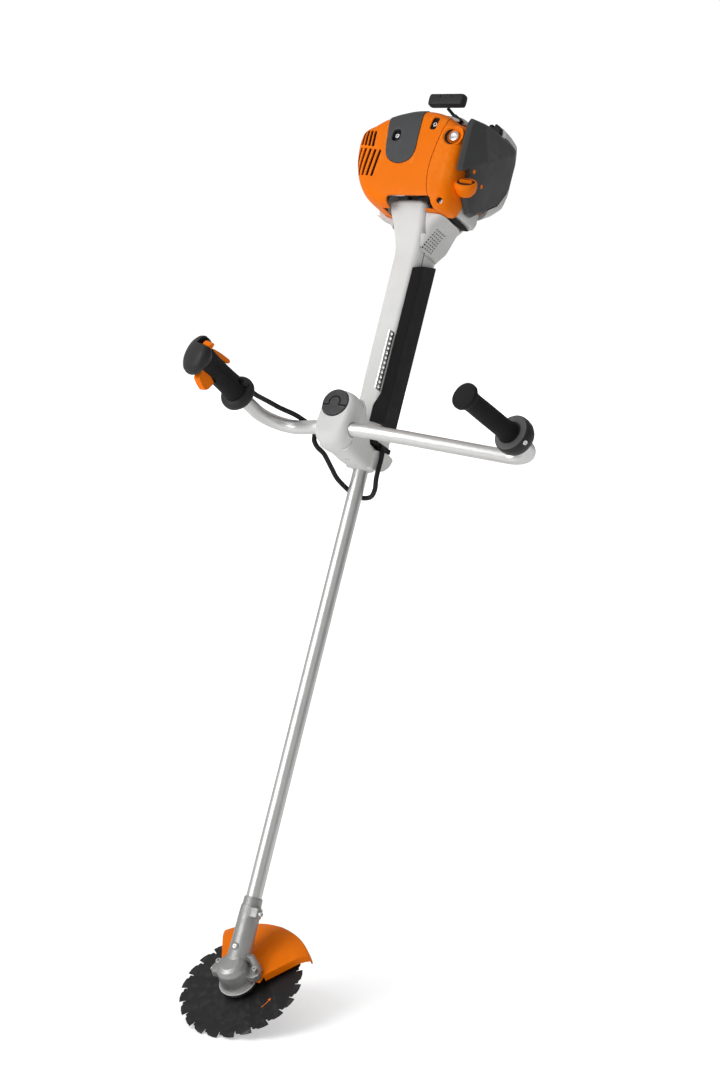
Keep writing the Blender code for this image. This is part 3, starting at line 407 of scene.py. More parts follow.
def smooth_path(points, steps=8):
    """A smooth path through the points (Catmull-Rom)."""
    points = [Vector(p) for p in points]
    ends = [points[0] * 2 - points[1]] + points + [points[-1] * 2 - points[-2]]
    path = []
    for a, b, c, d in zip(ends, ends[1:], ends[2:], ends[3:]):
        for k in range(steps):
            t = k / steps
            path.append(0.5 * (2 * b + (c - a) * t + (2 * a - 5 * b + 4 * c - d) * t * t
                               + (3 * b - a - 3 * c + d) * t ** 3))
    path.append(points[-1])
    return path


def sweep(name, path, radius, segments=32, matrix=WORLD):
    """A round bar along a path; radius may be one number or one per point."""
    path = [Vector(p) for p in path]
    radii = radius if isinstance(radius, list) else [radius] * len(path)
    rings = []
    normal = None
    for i, here in enumerate(path):
        tangent = (path[min(i + 1, len(path) - 1)] - path[max(i - 1, 0)]).normalized()
        if normal is None:
            normal = tangent.orthogonal().normalized()
        normal = (normal - tangent * normal.dot(tangent)).normalized()
        side = tangent.cross(normal)
        rings.append([here + (normal * c + side * s) * radii[i] for c, s in circle(segments)])
    return skin(name, rings, matrix)


def socket_screw(name, matrix, radius, height, node=None, look=STEEL, body="machine"):
    """The head of a socket screw standing on the frame's origin, with a rim chamfer and a hex recess."""
    profile = [(0, -6), (radius * 0.5, -6), (radius * 0.5, 0), (radius * 0.97, 0), (radius, height * 0.1),
        (radius, height * 0.8), (radius * 0.88, height), (0, height)]
    recess = [(0, height + 1), (radius * 0.55, height + 1), (radius * 0.55, height * 0.35),
        (0, height * 0.2)]
    head = carve(spin(name, profile, 24, matrix), spin("hex", recess, 6, matrix))
    piece(head, look, node, 25, body)


# --- pieces ---


BLADE_RADIUS = 112.5
BLADE_TEETH = 22
BLADE_TOP = -32.0
BLADE_THICKNESS = 1.9
PAINT = 0.12
TOOTH = [(0.0, 1.0), (0.30, 0.995), (0.58, 0.979), (0.66, 0.966), (0.68, 0.949), (0.86, 0.943),
    (0.905, 0.935), (0.918, 0.894), (0.94, 0.885), (0.97, 0.888), (0.982, 0.905)]


def blade_point(radius, turns):
    return (radius * math.cos(turns), radius * math.sin(turns))


def build_blade():
    step = 2 * math.pi / BLADE_TEETH
    outline = []
    for tooth in range(BLADE_TEETH):
        outline += [blade_point(BLADE_RADIUS * reach, -(tooth + part) * step) for part, reach in TOOTH]
    blade = prism("blade_disc", outline[::-1], BLADE_TOP - BLADE_THICKNESS, BLADE_TOP, HEAD)
    carve(blade, rod("bore", 12.7, -60, 0, 48, HEAD))
    bevel(blade, 0.35, 2)
    piece(blade, BLADE, "saw_blade", 25, body="blade_shaft")
    build_turn_arrow()
    plate = spin("blade_hub_plate", [(6.4, -19.5), (30.5, -19.5), (33, -21), (33.2, -24), (31, -25.6),
        (23, -27), (22.4, -31.6), (12.3, -31.6), (12.3, -33.6), (6.4, -33.6)], 72, HEAD, hollow=True)
    piece(plate, BLADE, "thrust_plate", 30, body="blade_shaft")
    dish = spin("blade_skid_dish", [(13.5, -34.3), (30, -34.3), (36.6, -37), (37.2, -39), (34.5, -43),
        (22, -47.3), (13.5, -47.3)], 72, HEAD, hollow=True)
    piece(dish, STEEL, "rider_plate", 35, body="blade_shaft")


def build_turn_arrow():
    """The painted arrow that shows which way the blade turns."""
    shaft = arc(70, -12, -27, 12) + arc(71.2, -27, -12, 12)
    corners = ((70.6, -8), (73.4, -12.5), (67.8, -12.5))
    tip = [blade_point(reach, math.radians(turn)) for reach, turn in corners]
    parts = []
    for outline in (shaft, tip):
        parts.append(prism("arrow_part", anticlockwise(outline), BLADE_TOP, BLADE_TOP + PAINT, HEAD))
    piece(join("blade_turn_arrow", parts), ORANGE_TRIM, body="blade_shaft")


def facing_front(x, y, z):
    """A frame on the front of the tube, its axis pointing forwards."""
    return WORLD @ axes(Vector((x, y, z)), X, Z, FRONT)


def gearbox_shapes():
    case = spin("case", [(0, 29.5), (17, 29.5), (24, 25.5), (27.6, 17), (28.6, 4), (28.8, -8), (30, -13),
        (33.5, -16), (33.5, -18.4), (0, -18.4)], 72, HEAD)
    sleeve = spin("sleeve", [(0, 134), (16.0, 134), (16.6, 132), (16.7, 121), (18.5, 116.5), (19.2, 80),
        (20.2, 45), (21.2, 20), (21.2, 0), (0, 0)], 64)
    left = skin("left_lug", [
        [(-18, -9, -9.6), (-45, -9, -9.6), (-50, 0, -9.6), (-47, 12, -9.6), (-18, 22, -9.6)],
        [(-14, -8, 15), (-43, -8, 8), (-47.5, 0, 6), (-45, 11, 6), (-14, 20, 16)]], HEAD)
    lip = skin("left_lip", [[(-18, -12, -2), (-40, -12, -5), (-40, -7, -5), (-18, -5, -2)],
        [(-12, -12, 13), (-40, -11, 6), (-40, -6, 6), (-12, -5, 13)]], HEAD)
    right = prism("right_lug", [(14, -4), (40, -2), (47, 6), (44, 18), (30, 26), (12, 26)], -9.6, 3, HEAD)
    cone = sweep("right_rib", [(26, 27, 24), (29, 25, 12), (34, 20, -8)], [5.4, 7.4, 9.6], 32, HEAD)
    boss = prism("clamp_boss", round_corners(rectangle(8, 28.5, -18.5, -2), 6), 99, 116)
    belly_profile = [(0, 22), (5.4, 22), (6.4, 20), (7.5, 8), (0, 8)]
    belly = spin("front_boss", belly_profile, 32, facing_front(0, 0, 45))
    seam = sweep("casting_seam", [(-27.5, 12, 0), (-27.2, 9, -6), (-25, -8, -10), (-17, -21, -12),
        (-6, -27.6, -14)], 1.0, 12, HEAD)
    return [case, sleeve, left, lip, right, cone, boss, belly, seam]


def build_gearbox():
    case = melt(join("gearbox_casting", gearbox_shapes()), 0.85, 5)
    carve(case, rod("tube_bore", 14.5, 33, 160, 64), rod("pinion_room", 15.2, -2, 40, 48),
        rod("gear_room", 20.6, -60, 18, 64, HEAD))
    piece(case, CAST, "gearbox_housing", 60)
    # The flange's machined rim, whitened to paint the bright highlight along its lower edge.
    rim = spin("flange_rim", [(31, -15.9), (33.7, -16.2), (34.1, -17.0), (34.1, -18.3), (33.6, -18.9),
        (31, -18.9)], 96, HEAD, hollow=True)
    piece(rim, BRIGHT, angle=40)
    build_gearbox_details()


def build_gearbox_details():
    for name, x in (("guard_screw_left", -38), ("guard_screw_right", 38)):
        socket_screw(f"{name}_head", HEAD @ at(x, 12, 6.5), 5.2, 5.0, name)
    side = WORLD @ axes(Vector((28.8, -13, 107)), -Z, Y, X)
    socket_screw("sleeve_clamp_screw", side, 4.8, 4.6, "gearbox_clamp_screw")
    socket_screw("sleeve_front_screw", facing_front(0, -21.6, 45), 3.6, 1.2)
    socket_screw("side_plug_screw", HEAD @ axes(Vector((-47.5, 1, -1)), Z, FRONT, -X), 3.8, 2.4)
    dots = []
    for i in range(5):
        for side in (-1, 1):
            spot = facing_front(1.6 * side - 3, -19.3, 74 + 5.0 * i)
            dots.append(spin("dot", [(0, 0.7), (0.8, 0.6), (1.0, -1), (0, -1)], 10, spot))
    piece(join("sleeve_cast_marks", dots), CAST, angle=60)


GUARD_FROM, GUARD_SPAN, GUARD_RADIUS, SKIRT_DEPTH = 40, 92, 130, 20.6


def guard_room():
    """Room for the gear case in the guard."""
    profile = [(0, 30), (31.8, 30), (31.8, -15.2), (34.8, -15.2), (34.8, -60), (0, -60)]
    return spin("guard_room", profile, 64, HEAD)


def guard_height(angle, part):
    """Top surface of the guard over angle in degrees and the part of the way out."""
    height = -10.0 - 1.2 * part
    if part > 0.74:
        height -= 7.6 * ((part - 0.74) / 0.26) ** 1.5
    crest = 9.0 * (1 - part) ** 0.6
    rise = min(1, max(0, (angle - 66) / 14)) * min(1, max(0, (112 - angle) / 12))
    return height + crest * rise + 1.6 * math.exp(-((angle - 82) / 2.2) ** 2) * (1 - part * 0.6)


def guard_spot(angle, part, drop=0.0, grow=0.0):
    turn = math.radians(angle)
    share = (angle - GUARD_FROM) / GUARD_SPAN
    inner = Vector((46 - 92 * share, 16 + 6 * share))
    if inner.length < 32.5:
        inner = inner.normalized() * 32.5
    outer = Vector((math.cos(turn), math.sin(turn))) * GUARD_RADIUS
    spot = inner.lerp(outer, part)
    spot += spot.normalized() * grow
    return (spot.x, spot.y, guard_height(angle, part) - drop)


def guard_column(angle, drop=0.0):
    """Points from the gear case to the foot of the skirt; a drop turns the sheet's edge down."""
    rows = [0.0, 0.05] + [i / 16 for i in range(2, 16)] + [0.965, 0.985]
    skirt = [(0.995, 0.8, 0.2), (1.0, 2.4, 0.5), (1.0, 6.0, 0.8), (1.0, 12.0, 1.0), (1.0, SKIRT_DEPTH, 1.3)]
    return ([guard_spot(angle, part, drop) for part in rows]
            + [guard_spot(angle, p, d + drop * (1 - d / SKIRT_DEPTH) * 0.9, g) for p, d, g in skirt])


def build_guard():
    edges = [(-0.8, 14.0), (-0.4, 3.0), (0.0, 0.9)]
    last = GUARD_FROM + GUARD_SPAN
    grid = [guard_column(GUARD_FROM + shift * 0.3 - 0.5, drop) for shift, drop in edges]
    grid += [guard_column(GUARD_FROM + GUARD_SPAN * i / 60) for i in range(61)]
    grid += [guard_column(last - shift * 0.3 + 0.5, drop) for shift, drop in reversed(edges)]
    shell = skin("guard_shell", grid, HEAD, closed=False)
    if sum((face.normal.dot(N) for face in shell.data.polygons)) < 0:
        shell.data.flip_normals()
    thicken(shell, 2.8)
    bevel(shell, 0.5, 2, 50)
    carve(shell, guard_room())
    piece(shell, ORANGE, "blade_guard", 34)
    tabs = [block("tab", (x - 9, 2, -13.9), (x + 9, 36, -10.2), HEAD) for x in (-38, 38)]
    tab = carve(join("guard_tabs", tabs), guard_room())
    piece(bevel(tab, 0.8), ORANGE)


def bend_path(points, radii, steps=24):
    """The path through the points with each inner corner rounded to its radius."""
    found = [Vector(points[0])]
    for i, radius in enumerate(radii, 1):
        corner = Vector(points[i])
        into = (Vector(points[i - 1]) - corner).normalized()
        out = (Vector(points[i + 1]) - corner).normalized()
        half = into.angle(out) / 2
        reach = radius / math.tan(half)
        centre = corner + (into + out).normalized() * radius / math.sin(half)
        first, last = corner + into * reach - centre, corner + out * reach - centre
        turn = first.angle(last)
        axis = first.cross(last).normalized()
        found += [centre + Matrix.Rotation(turn * k / steps, 3, axis) @ first for k in range(steps + 1)]
    return found + [Vector(points[-1])]


BAR_RADIUS = 12.7
TUBE_RADIUS = 14
TUBE_WALL = 1.8


def build_bar():
    lean = math.tan(GRIP_LEAN)
    points = [(CONTROL_X, 187), (CONTROL_X, -10), (-75, -7), (-40, 0), (62, 0), (140, -15),
        (GRIP_X + lean * 128, -73), (GRIP_X - lean * 97, 152)]
    path = bend_path([(x, 0, g) for x, g in points], [58, 80, 80, 120, 160, 46])
    piece(sweep("bar_tube", path, BAR_RADIUS, 56, CLAMP), BAR, "handlebar", 50, "bar")


def build_tube():
    inside = TUBE_RADIUS - TUBE_WALL
    profile = [(inside, 36), (TUBE_RADIUS, 36), (TUBE_RADIUS, 1340), (inside, 1340)]
    piece(spin("long_tube", profile, 96, hollow=True), TUBE, "drive_tube", 40)


# --- clamp ---


def bar_bore(segments):
    return rod("bar_bore", 13.7, -90, 90, segments, CLAMP @ SIDEWAYS)


def stud_bore():
    return rod("stud_bore", 4.4, -60, 60, 24, KNOB)


def build_clamp_lid():
    sections = [(round_corners(rectangle(-30.1, 37.6, -35.6, 68.1), 31, 12), -9.6)]
    for t in (-0.5, 0, 0.2, 0.38, 0.52, 0.65, 0.76, 0.85, 0.92, 0.97, 1.0):
        f = 1 - math.sqrt(1 - max(0, t) ** 2)
        outline = rectangle(-30.5 + 6.5 * f, 38 - 13 * f, -36 + 20 * f, 68.5 - 5.5 * f)
        sections.append((round_corners(outline, 31 - 5 * f, 12), 1 + 23 * t))
    lid = loft("clamp_lid", sections, CLAMP)
    knob_seat = [(0, 19.5), (26.7, 19.5), (26.7, 22.6), (28.0, 24.6), (40, 40), (0, 40)]
    carve(lid, bar_bore(56), stud_bore())
    carve(lid, spin("knob_seat", knob_seat, 80, KNOB))
    piece(bevel(lid, 0.5, 2, 40), PALE, "clamp_cap", 45)


def build_knob():
    profile = [(0, 27.1), (12, 27.0), (21, 26.6), (25.0, 25.9), (26.0, 24.6), (26.0, 20.6), (25.4, 19.9),
        (4, 19.9), (4, -40), (0, -40)]
    knob = spin("lock_knob", profile, 96, KNOB)
    grooves = [prism("ring_groove", ring_sector(9.8, 12.2, -28, 208, 24), 23.6, 40, KNOB)]
    # Near-black blocks at the bottom of the grooves: painted shade in the grooves.
    shade_blocks = [prism("groove_shade_block", ring_sector(9.6, 12.4, -28, 208, 24), 23.2, 24.4, KNOB)]
    for side in (1, -1):
        near, far = sorted((side * 10.0, side * 40))
        grooves.append(block("bar_groove", (near, -6.9, 23.6), (far, -4.3, 40), KNOB))
        near, far = sorted((side * 10.4, side * 24.6))
        shade_blocks.append(block("groove_shade_block", (near, -7.1, 23.2), (far, -4.1, 24.4), KNOB))
    carve(knob, *grooves)
    piece(bevel(knob, 0.35, 2, 40), KNOB_BLACK, "clamp_knob", 30, "knob")
    piece(join("knob_groove_painted_shade", shade_blocks), PAINTED_SHADE, body="knob")


def build_support():
    levels = [(-11.0, -29.4, 37, -35, 67), (-15, -29, 36, -34, 66), (-26, -28, 33, -33, 64),
        (-44, -25, 27, -30, 58), (-72, -24, 25, -30, 38), (-86, -23, 25, -29, 20),
        (-112, -21, 24, -27, 20), (-132, -19, 22, -22, 18)]
    sections = [(round_corners(rectangle(*sides), 13, 6), g) for g, *sides in levels]
    body = loft("clamp_body", sections[::-1], CLAMP)
    side = [(16, 920), (-30, 930), (-46, 944), (-54, 962), (-30, 966), (16, 958)]
    foot_rings = []
    for x, size in ((-26, 0.92), (-23, 1.0), (26, 1.0), (30, 0.93)):
        outline = round_corners(scaled(side, size, (-20, 945)), 5, 4)
        foot_rings.append([(x, -u, z) for u, z in outline])
    foot = skin("foot", foot_rings)
    body = melt(join("clamp_support_body", [body, foot]), 1.1, 4)
    marks = [block("mark", (-14, -40, -38), (-6, -29.0, -36.2), CLAMP),
        block("mark", (1, -40, -62), (9, -28.4, -60.2), CLAMP),
        block("mark", (-1, -40, -64), (1.5, -28.4, -58), CLAMP)]
    carve(body, rod("tube_bore", 14.4, 800, 1100, 48), bar_bore(48), stud_bore(), *marks)
    piece(body, PALE, "clamp_support", 50)


# --- handle housing ---

LEG_LEVELS = [(978, 27, 32, 44), (1040, 27, 33, 42), (1160, 27.6, 33.4, 42), (1220, 27.9, 33.6, 42),
    (1270, 28.2, 33.8, 42), (1305, 28.4, 33.9, 42), (1330, 28.5, 34, 42), (1352, 30.5, 38, 44),
    (1385, 36.5, 52, 48), (1408, 41, 65, 50), (1424, 42, 69, 50)]


def leg_outline(half_width, front, back, thinner):
    w, f, b = half_width - thinner, front - thinner, back - thinner
    corners = [(-w, b - 12), (-w, 12 - f), (-w + 8, -f), (w - 8, -f), (w, 12 - f), (w, b - 12)]
    return round_corners(corners + [(w - 10, b), (-w + 10, b)], 9, 6)


def leg_solid(name, thinner, low=978, high=1424, crown=False):
    """The handle housing's shape with its wall moved in, between two heights; a crown rounds its top."""
    levels = [list(level) for level in smooth_path(LEG_LEVELS, 6)]
    top = 1415 if crown else high
    kept = [level for level in levels if low + 1 < level[0] < top - 1]
    kept = [[low] + kept[0][1:]] + kept
    if not crown:
        kept.append([high] + kept[-1][1:])
    sections = [(leg_outline(w, f, b, thinner), z) for z, w, f, b in kept]
    if crown:
        rounding = ((1417, 0), (1420.5, 0.8), (1423, 2.6), (1424.2, 5.5))
        sections += [(leg_outline(42, 68.5, 50, thinner + less), z) for z, less in rounding]
    return loft(name, sections)


def split_block(name, side, gap):
    outline = [(-90, 0), (90, -54), (90, 200 * side), (-90, 200 * side)]
    levels = [(900, 24), (1325, 23), (1350, 20), (1380, 9), (1413, -8), (1500, -50)]
    rings = [[(x, y - gap * side + rise, z) for x, y in outline] for z, rise in levels]
    return skin(name, rings if side > 0 else [ring[::-1] for ring in rings])


def build_leg():
    front = leg_solid("handle_front_shell", 0, 973, crown=True)
    carve(front, leg_solid("hollow", 2.6, 960, 1420.5))
    carve(front, split_block("split", 1, 2.0), block("roof_trim", (-80, -43, 1418.5), (80, 90, 1460)))
    piece(bevel(front, 0.7, 2, 50), PALE, "handle_housing_front", 40)
    rear = leg_solid("handle_rear_shell", 0, 973)
    carve(rear, leg_solid("hollow", 2.6, 960, 1440))
    carve(rear, split_block("split", -1, 1.1), block("top_trim", (-90, -90, 1364), (90, 90, 1500)))
    piece(bevel(rear, 0.6, 2, 50), PALE, "handle_housing_rear", 40)
    # A rubber gasket under the housing, made near-black and thick so it also paints the shadow in the gap
    # there.
    foot_gasket_and_shade = prism("handle_foot_gasket_and_shade", round_corners(rectangle(-25, 28.5, -28, 42), 8, 5), 967.5, 974.5)
    carve(foot_gasket_and_shade, rod("bore", 14.3, 900, 1000, 48))
    piece(foot_gasket_and_shade, PAINTED_SHADE)
    # Painted shade: a near-black lining inside the housing, seen through the gap between its shells.
    shade_liner = leg_solid("handle_painted_shade_lining", 2.8, 1010, 1418)
    carve(shade_liner, leg_solid("liner_room", 3.4, 900, 1440))
    carve(shade_liner, block("liner_keep", (12, -90, 1300), (90, 90, 1500)), operation="INTERSECT")
    piece(shade_liner, PAINTED_SHADE)
    # Painted shade: a near-black band round the top of the housing, in the gap to the parts around it.
    top_shade = leg_solid("handle_top_painted_shade", -6.0, 1367, 1422)
    carve(top_shade, leg_solid("top_shade_room", -0.3, 1300, 1440))
    carve(top_shade, split_block("top_shade_front", -1, -2.0))
    piece(top_shade, PAINTED_SHADE)


def pad_rise(x, y):
    """How far the pad's slanted top stands above its lowest corner."""
    return 8 * min(1, max(0, (x - 24) / 14)) + 0.39 * max(0, y + 16)


def build_pad():
    back = [(38.5, 22), (34, 29)]
    upper = [(23.5, -34.0), (25.5, -36.0), (38.5, -23), *back, (29.4, 29), (29.4, -21)]
    lower = [(14, -34.2), (16, -38), (38.0, -24), *back, (28.6, 29), (28.6, -20.5)]
    lip = [(14, -34.2), (16, -39), (38.5, -25), *back, (28.6, 29), (28.6, -20.5)]
    sections = [(lower, 1005), (lower, 1006), (lip, 1026), (lip, 1034)]
    for t in (0.12, 0.3, 0.5, 0.7, 0.88, 1.0):
        mixed = [(a[0] * (1 - t) + b[0] * t, a[1] * (1 - t) + b[1] * t) for a, b in zip(lip, upper)]
        sections.append((mixed, 1036 + 24 * t))
    sections += [(upper, 1200), (upper, 1302), ([(x * 0.992, y * 0.98) for x, y in upper], 1304)]
    rings = [[(x, y, z) for x, y in round_corners(outline, 2.6, 3)] for outline, z in sections]
    for ring in rings[-2:]:
        ring[:] = [(x, y, z + pad_rise(x, y)) for x, y, z in ring]
    pad = skin("hip_pad", rings)
    carve(pad, leg_solid("pad_fit", -0.5))
    piece(pad, PAD, "leg_pad", 24)


def build_strip():
    strip = block("hanging_strip", (18.6, -52, 1062), (21.2, -34.6, 1176))
    places = [WORLD @ at(20, -43.5, 1068 + 9.3 * i) @ SIDEWAYS for i in range(12)]
    holes = [rod("hole", 3.4, -20, 20, 24, place) for place in places]
    carve(strip, join("holes", holes))
    piece(bevel(strip, 0.35, 2, 40), TUBE, "harness_strip", 30)


# --- engine ---

SHROUD = [(-45, 1400), (-78, 1413), (-104, 1444), (-119, 1482), (-124, 1522), (-122, 1548), (-104, 1561),
    (-64, 1571), (0, 1580), (48, 1577), (88, 1566), (107, 1560), (107, 1412), (98, 1394), (60, 1400)]
SHROUD_LEVELS = [(-18, 1.0), (40, 1.0), (72, 0.995), (86, 0.97), (96, 0.915), (101.5, 0.84), (104, 0.74),
    (105.4, 0.5), (105.8, 0.2)]


def crown(x, z, u):
    """How far the top edge of the shroud rises towards its upper face, in front of the starter."""
    t = min(1, max(0, (u - 58) / 28))
    side = max(0, 1 - ((x + 4) / 84) ** 2)
    return 15 * t * t * (3 - 2 * t) * side ** 0.7 * min(1, max(0, (z - 1535) / 25))


def shroud_solid(name, grow, low, shift):
    levels = [Vector((low, 1.0, 0))]
    levels += [level for level in smooth_path([(u, f, 0) for u, f in SHROUD_LEVELS], 4)
        if level.x + shift > low + 1]
    rings = []
    for i, (u, factor, _) in enumerate(levels):
        outline = round_corners(scaled(SHROUD, factor * grow, (-5, 1490)), 24, 5)
        rings.append([(x, z + crown(x, z, u) * factor, u + (shift if i else 0)) for x, z in outline])
    return skin(name, rings, ENGINE)


def seam_block(name, side, gap):
    line = [(52, 1640), (64, 1569), (60, 1545), (54, 1510), (51, 1480), (52, 1455), (57, 1430), (69, 1400),
        (72, 1360)]
    path = smooth_path([(x, z, 0) for x, z in line], 4)
    outline = [(p.x - side * gap, p.y) for p in path] + [(side * 220, 1360), (side * 220, 1640)]
    return prism(name, anticlockwise(outline), -60, 140, ENGINE)


def plug_outline(grow):
    shape = [(-66, 1620), (11, 1620), (15, 1503), (9, 1486), (-10, 1477), (-30, 1480), (-45, 1491),
        (-50, 1510)]
    return round_corners(scaled(shape, grow, (-24, 1530)), 9, 5)


def slot_shapes():
    """The two rows of cooling slots."""
    made = []
    for start, pitch, z, length, lean in ((-115, 8.6, 1534, 32, 0.05), (-108, 11.0, 1485, 53, -0.12)):
        for i in range(5):
            outline = round_corners(rectangle(-2.9, 2.9, -length / 2, length / 2), 1.8, 3)
            place = ENGINE @ at(start + pitch * i, z - i * 1.5, 0) @ Matrix.Rotation(lean, 4, "Z")
            made.append(prism("slot", outline, 52, 140, place))
    return join("slots", made)


def leg_notch():
    """Room for the top of the handle housing, and the opening above it in the upper face."""
    deep = prism("leg_notch", round_corners(rectangle(-43.4, 47.5, 1370, 1428.5), 7, 5), -30, 78, ENGINE)
    face = prism("face_notch", round_corners(rectangle(-27, 68, 1340, 1417.5), 9, 6), 77, 130, ENGINE)
    return [deep, face]


def build_shroud_left():
    shell = shroud_solid("shroud_main", 1.0, -18, 0)
    carve(shell, shroud_solid("hollow", 0.976, -60, -2.8))
    carve(shell, seam_block("seam", 1, 0.5))
    carve(shell, *leg_notch())
    carve(shell, prism("plug_opening", plug_outline(1.0), 58, 140, ENGINE))
    carve(shell, slot_shapes())
    pill = round_corners(rectangle(-7, 7, -13, 13), 5.5, 5)
    tilt = ENGINE @ at(40, 1559, 0) @ Matrix.Rotation(-0.12, 4, "Z")
    carve(shell, prism("pill", pill, 70, 140, tilt))
    piece(bevel(shell, 0.8, 2, 40), ORANGE, "shroud_left", 36)
    # Painted shade: a near-black floor under the recess round the top screw.
    floor = prism("shroud_slot_painted_shade", [(x * 1.12, y * 1.06) for x, y in pill], 84, 97.5, tilt)
    piece(floor, PAINTED_SHADE)
    socket_screw("shroud_top_screw", tilt @ at(0, -1, 97.5), 4.4, 3.4)


def build_shroud_right():
    shell = shroud_solid("shroud_side", 0.994, -18, -0.9)
    carve(shell, shroud_solid("hollow", 0.970, -60, -3.6))
    carve(shell, seam_block("seam", -1, 0.5))
    carve(shell, *leg_notch())
    carve(shell, block("filter_opening", (88, 1440, -60), (130, 1552, 66), ENGINE))
    carve(shell, block("low_corner", (52, 1370, -60), (130, 1434, 50), ENGINE))
    collar = spin("collar", [(0, 0), (18.6, 0), (20.2, -1.2), (21, -5), (20.4, -12), (17.5, -20),
        (12, -26), (0, -29)], 64, CHOKE)
    carve(shell, collar, operation="UNION")
    valve = valve_frame()
    boss = spin("valve_boss", [(0, 80), (17, 80), (17, 92), (14, 95), (0, 95)], 48, valve)
    carve(shell, boss, operation="UNION")
    dish = [(0, -5.5), (16.4, -5.5), (16.8, 30), (0, 30)]
    valve_dish = [(0, 70), (10.6, 70), (10.6, 91), (13, 95.5), (20, 103), (26, 130), (0, 130)]
    carve(shell, spin("dish", dish, 64, CHOKE), spin("valve_dish", valve_dish, 48, valve))
    seat = [(10.4, 86), (10.4, 93.5), (13, 96), (19.5, 99.5), (19.5, 86)]
    piece(spin("valve_seat", seat, 48, valve, hollow=True), ORANGE)
    screw = ENGINE @ at(86, 1410, 0)
    carve(shell, spin("screw_seat", [(0, 84), (5.6, 84), (6.2, 140), (0, 140)], 32, screw))
    piece(bevel(shell, 0.7, 2, 40), ORANGE, "shroud_right", 36)
    socket_screw("shroud_side_screw", screw @ at(0, 0, 88), 4.4, 3.4, "shroud_screw")


def valve_frame():
    middle = middle_mm("decompression_valve") - CENTRE
    return ENGINE @ at(middle.x, middle.z, 0)


def build_valve():
    profile = [(0, 82), (6, 82), (6, 92), (9.6, 93), (9.9, 94), (9.9, 98), (9.0, 99.6), (6.6, 100.4),
        (5.6, 99.0), (0, 98.6)]
    piece(spin("decompression_button", profile, 48, valve_frame()), STEEL, "decompression_valve", 30,
        body="valve")


def build_painted_shade_liner():
    # Painted shade: a near-black lining inside the shroud, seen through its slots and openings.
    shade_liner = shroud_solid("engine_painted_shade_lining", 0.966, -14, -4.6)
    carve(shade_liner, shroud_solid("hollow", 0.957, -60, -5.8))
    carve(shade_liner, prism("leg_room", rectangle(-52, 56, 1360, 1436), -60, 130, ENGINE),
        rod("valve_room", 14, 60, 130, 24, valve_frame()), rod("choke_room", 30, -60, 30, 24, CHOKE),
        block("filter_room", (60, 1400, -60), (130, 1556, 96), ENGINE))
    piece(shade_liner, PAINTED_SHADE)


def build_plug_cover():
    cover = shroud_solid("plug_cover_shell", 1.008, 58.4, 1.6)
    carve(cover, shroud_solid("hollow", 0.965, -60, -4))
    carve(cover, prism("keep", plug_outline(0.985), 50, 140, ENGINE), operation="INTERSECT")
    seat = at(-33, 1534, 0)
    oval = prism("oval", round_corners(rectangle(-9, 9, -12, 12), 9, 8), 99.5, 140, ENGINE @ seat)
    carve(cover, oval)
    piece(bevel(cover, 1.4, 3, 40), DARK, "spark_plug_cover", 36)
    socket_screw("plug_cover_bolt", ENGINE @ seat @ at(0, 0, 99.7), 4.6, 3.6, "plug_cover_screw")


def build_choke():
    knob = spin("choke_dial", [(0, -16), (4, -16), (4, -5), (15.4, -5), (15.9, -4.6), (15.9, -1.2),
        (15.2, -0.5), (13.2, -0.4), (12.4, -1.4), (0, -1.6)], 64, CHOKE)
    piece(knob, BLACK, "choke_knob", 30, body="choke")
    outline = round_corners(rectangle(-12.0, 12.0, -2.8, 2.8), 2.2, 4)
    lever = prism("choke_dial_lever", outline, -3, 3.6, CHOKE)
    piece(bevel(lever, 0.7, 2, 40), ORANGE_TRIM, body="choke")


COVER_RINGS = [
    (107.5, [(103, 1560), (103, 1474), (62, 1428), (40, 1408), (20, 1410), (-50, 1462), (-78, 1508),
             (-80, 1565), (-70, 1588), (-30, 1592), (60, 1582), (95, 1574)]),
    (118, [(99, 1559), (97, 1474), (58, 1431), (38, 1412), (22, 1414), (-48, 1466), (-76, 1510),
           (-78, 1563), (-68, 1586), (-32, 1589), (60, 1579), (91, 1571)]),
    (129, [(70, 1566), (38, 1516), (34, 1514), (29, 1515), (24, 1518), (-10, 1541), (-42, 1563),
           (-49, 1570), (-46, 1576), (-30, 1579), (52, 1575), (67, 1571)]),
]


def cover_solid(name, grow, shift, start=None):
    rings = []
    for i, (x, outline) in enumerate(COVER_RINGS):
        spot = start if i == 0 and start is not None else x + shift
        rings.append([(spot, -u, z) for u, z in scaled(outline, grow, (5, 1510))])
    return skin(name, rings)


def build_filter_cover():
    cover = bevel(cover_solid("filter_cover_shell", 1.0, 0), 3.2, 4, 12)
    carve(cover, cover_solid("hollow", 0.955, -3, 90))
    gap = spin("collar_gap", [(0, 20), (20.4, 20), (21.6, -2), (22, -8), (21, -14), (18, -21), (12, -27),
        (0, -30)], 48, CHOKE)
    carve(cover, gap)
    piece(cover, DARK, "filter_cover", 20)
    for number, spot in enumerate(((122, -64, 1482), (125, -30, 1468))):
        found, point, normal, _ = cover.closest_point_on_mesh((WORLD @ Vector(spot)) * MM)
        if not found:
            continue
        dot = spin(f"choke_mark_{number}", [(0, -3), (4.0, -3), (4.0, 0.3), (3.4, 0.8), (0, 0.9)], 28,
            along(point / MM, normal))
        piece(dot, ORANGE_TRIM)


TANK_LEVELS = [(-95, -80, 98, 1496, 1586), (-90, -96, 110, 1483, 1598), (-72, -110, 118, 1461, 1608),
    (-50, -114, 119, 1442, 1611), (-20, -116, 119, 1422, 1612)]


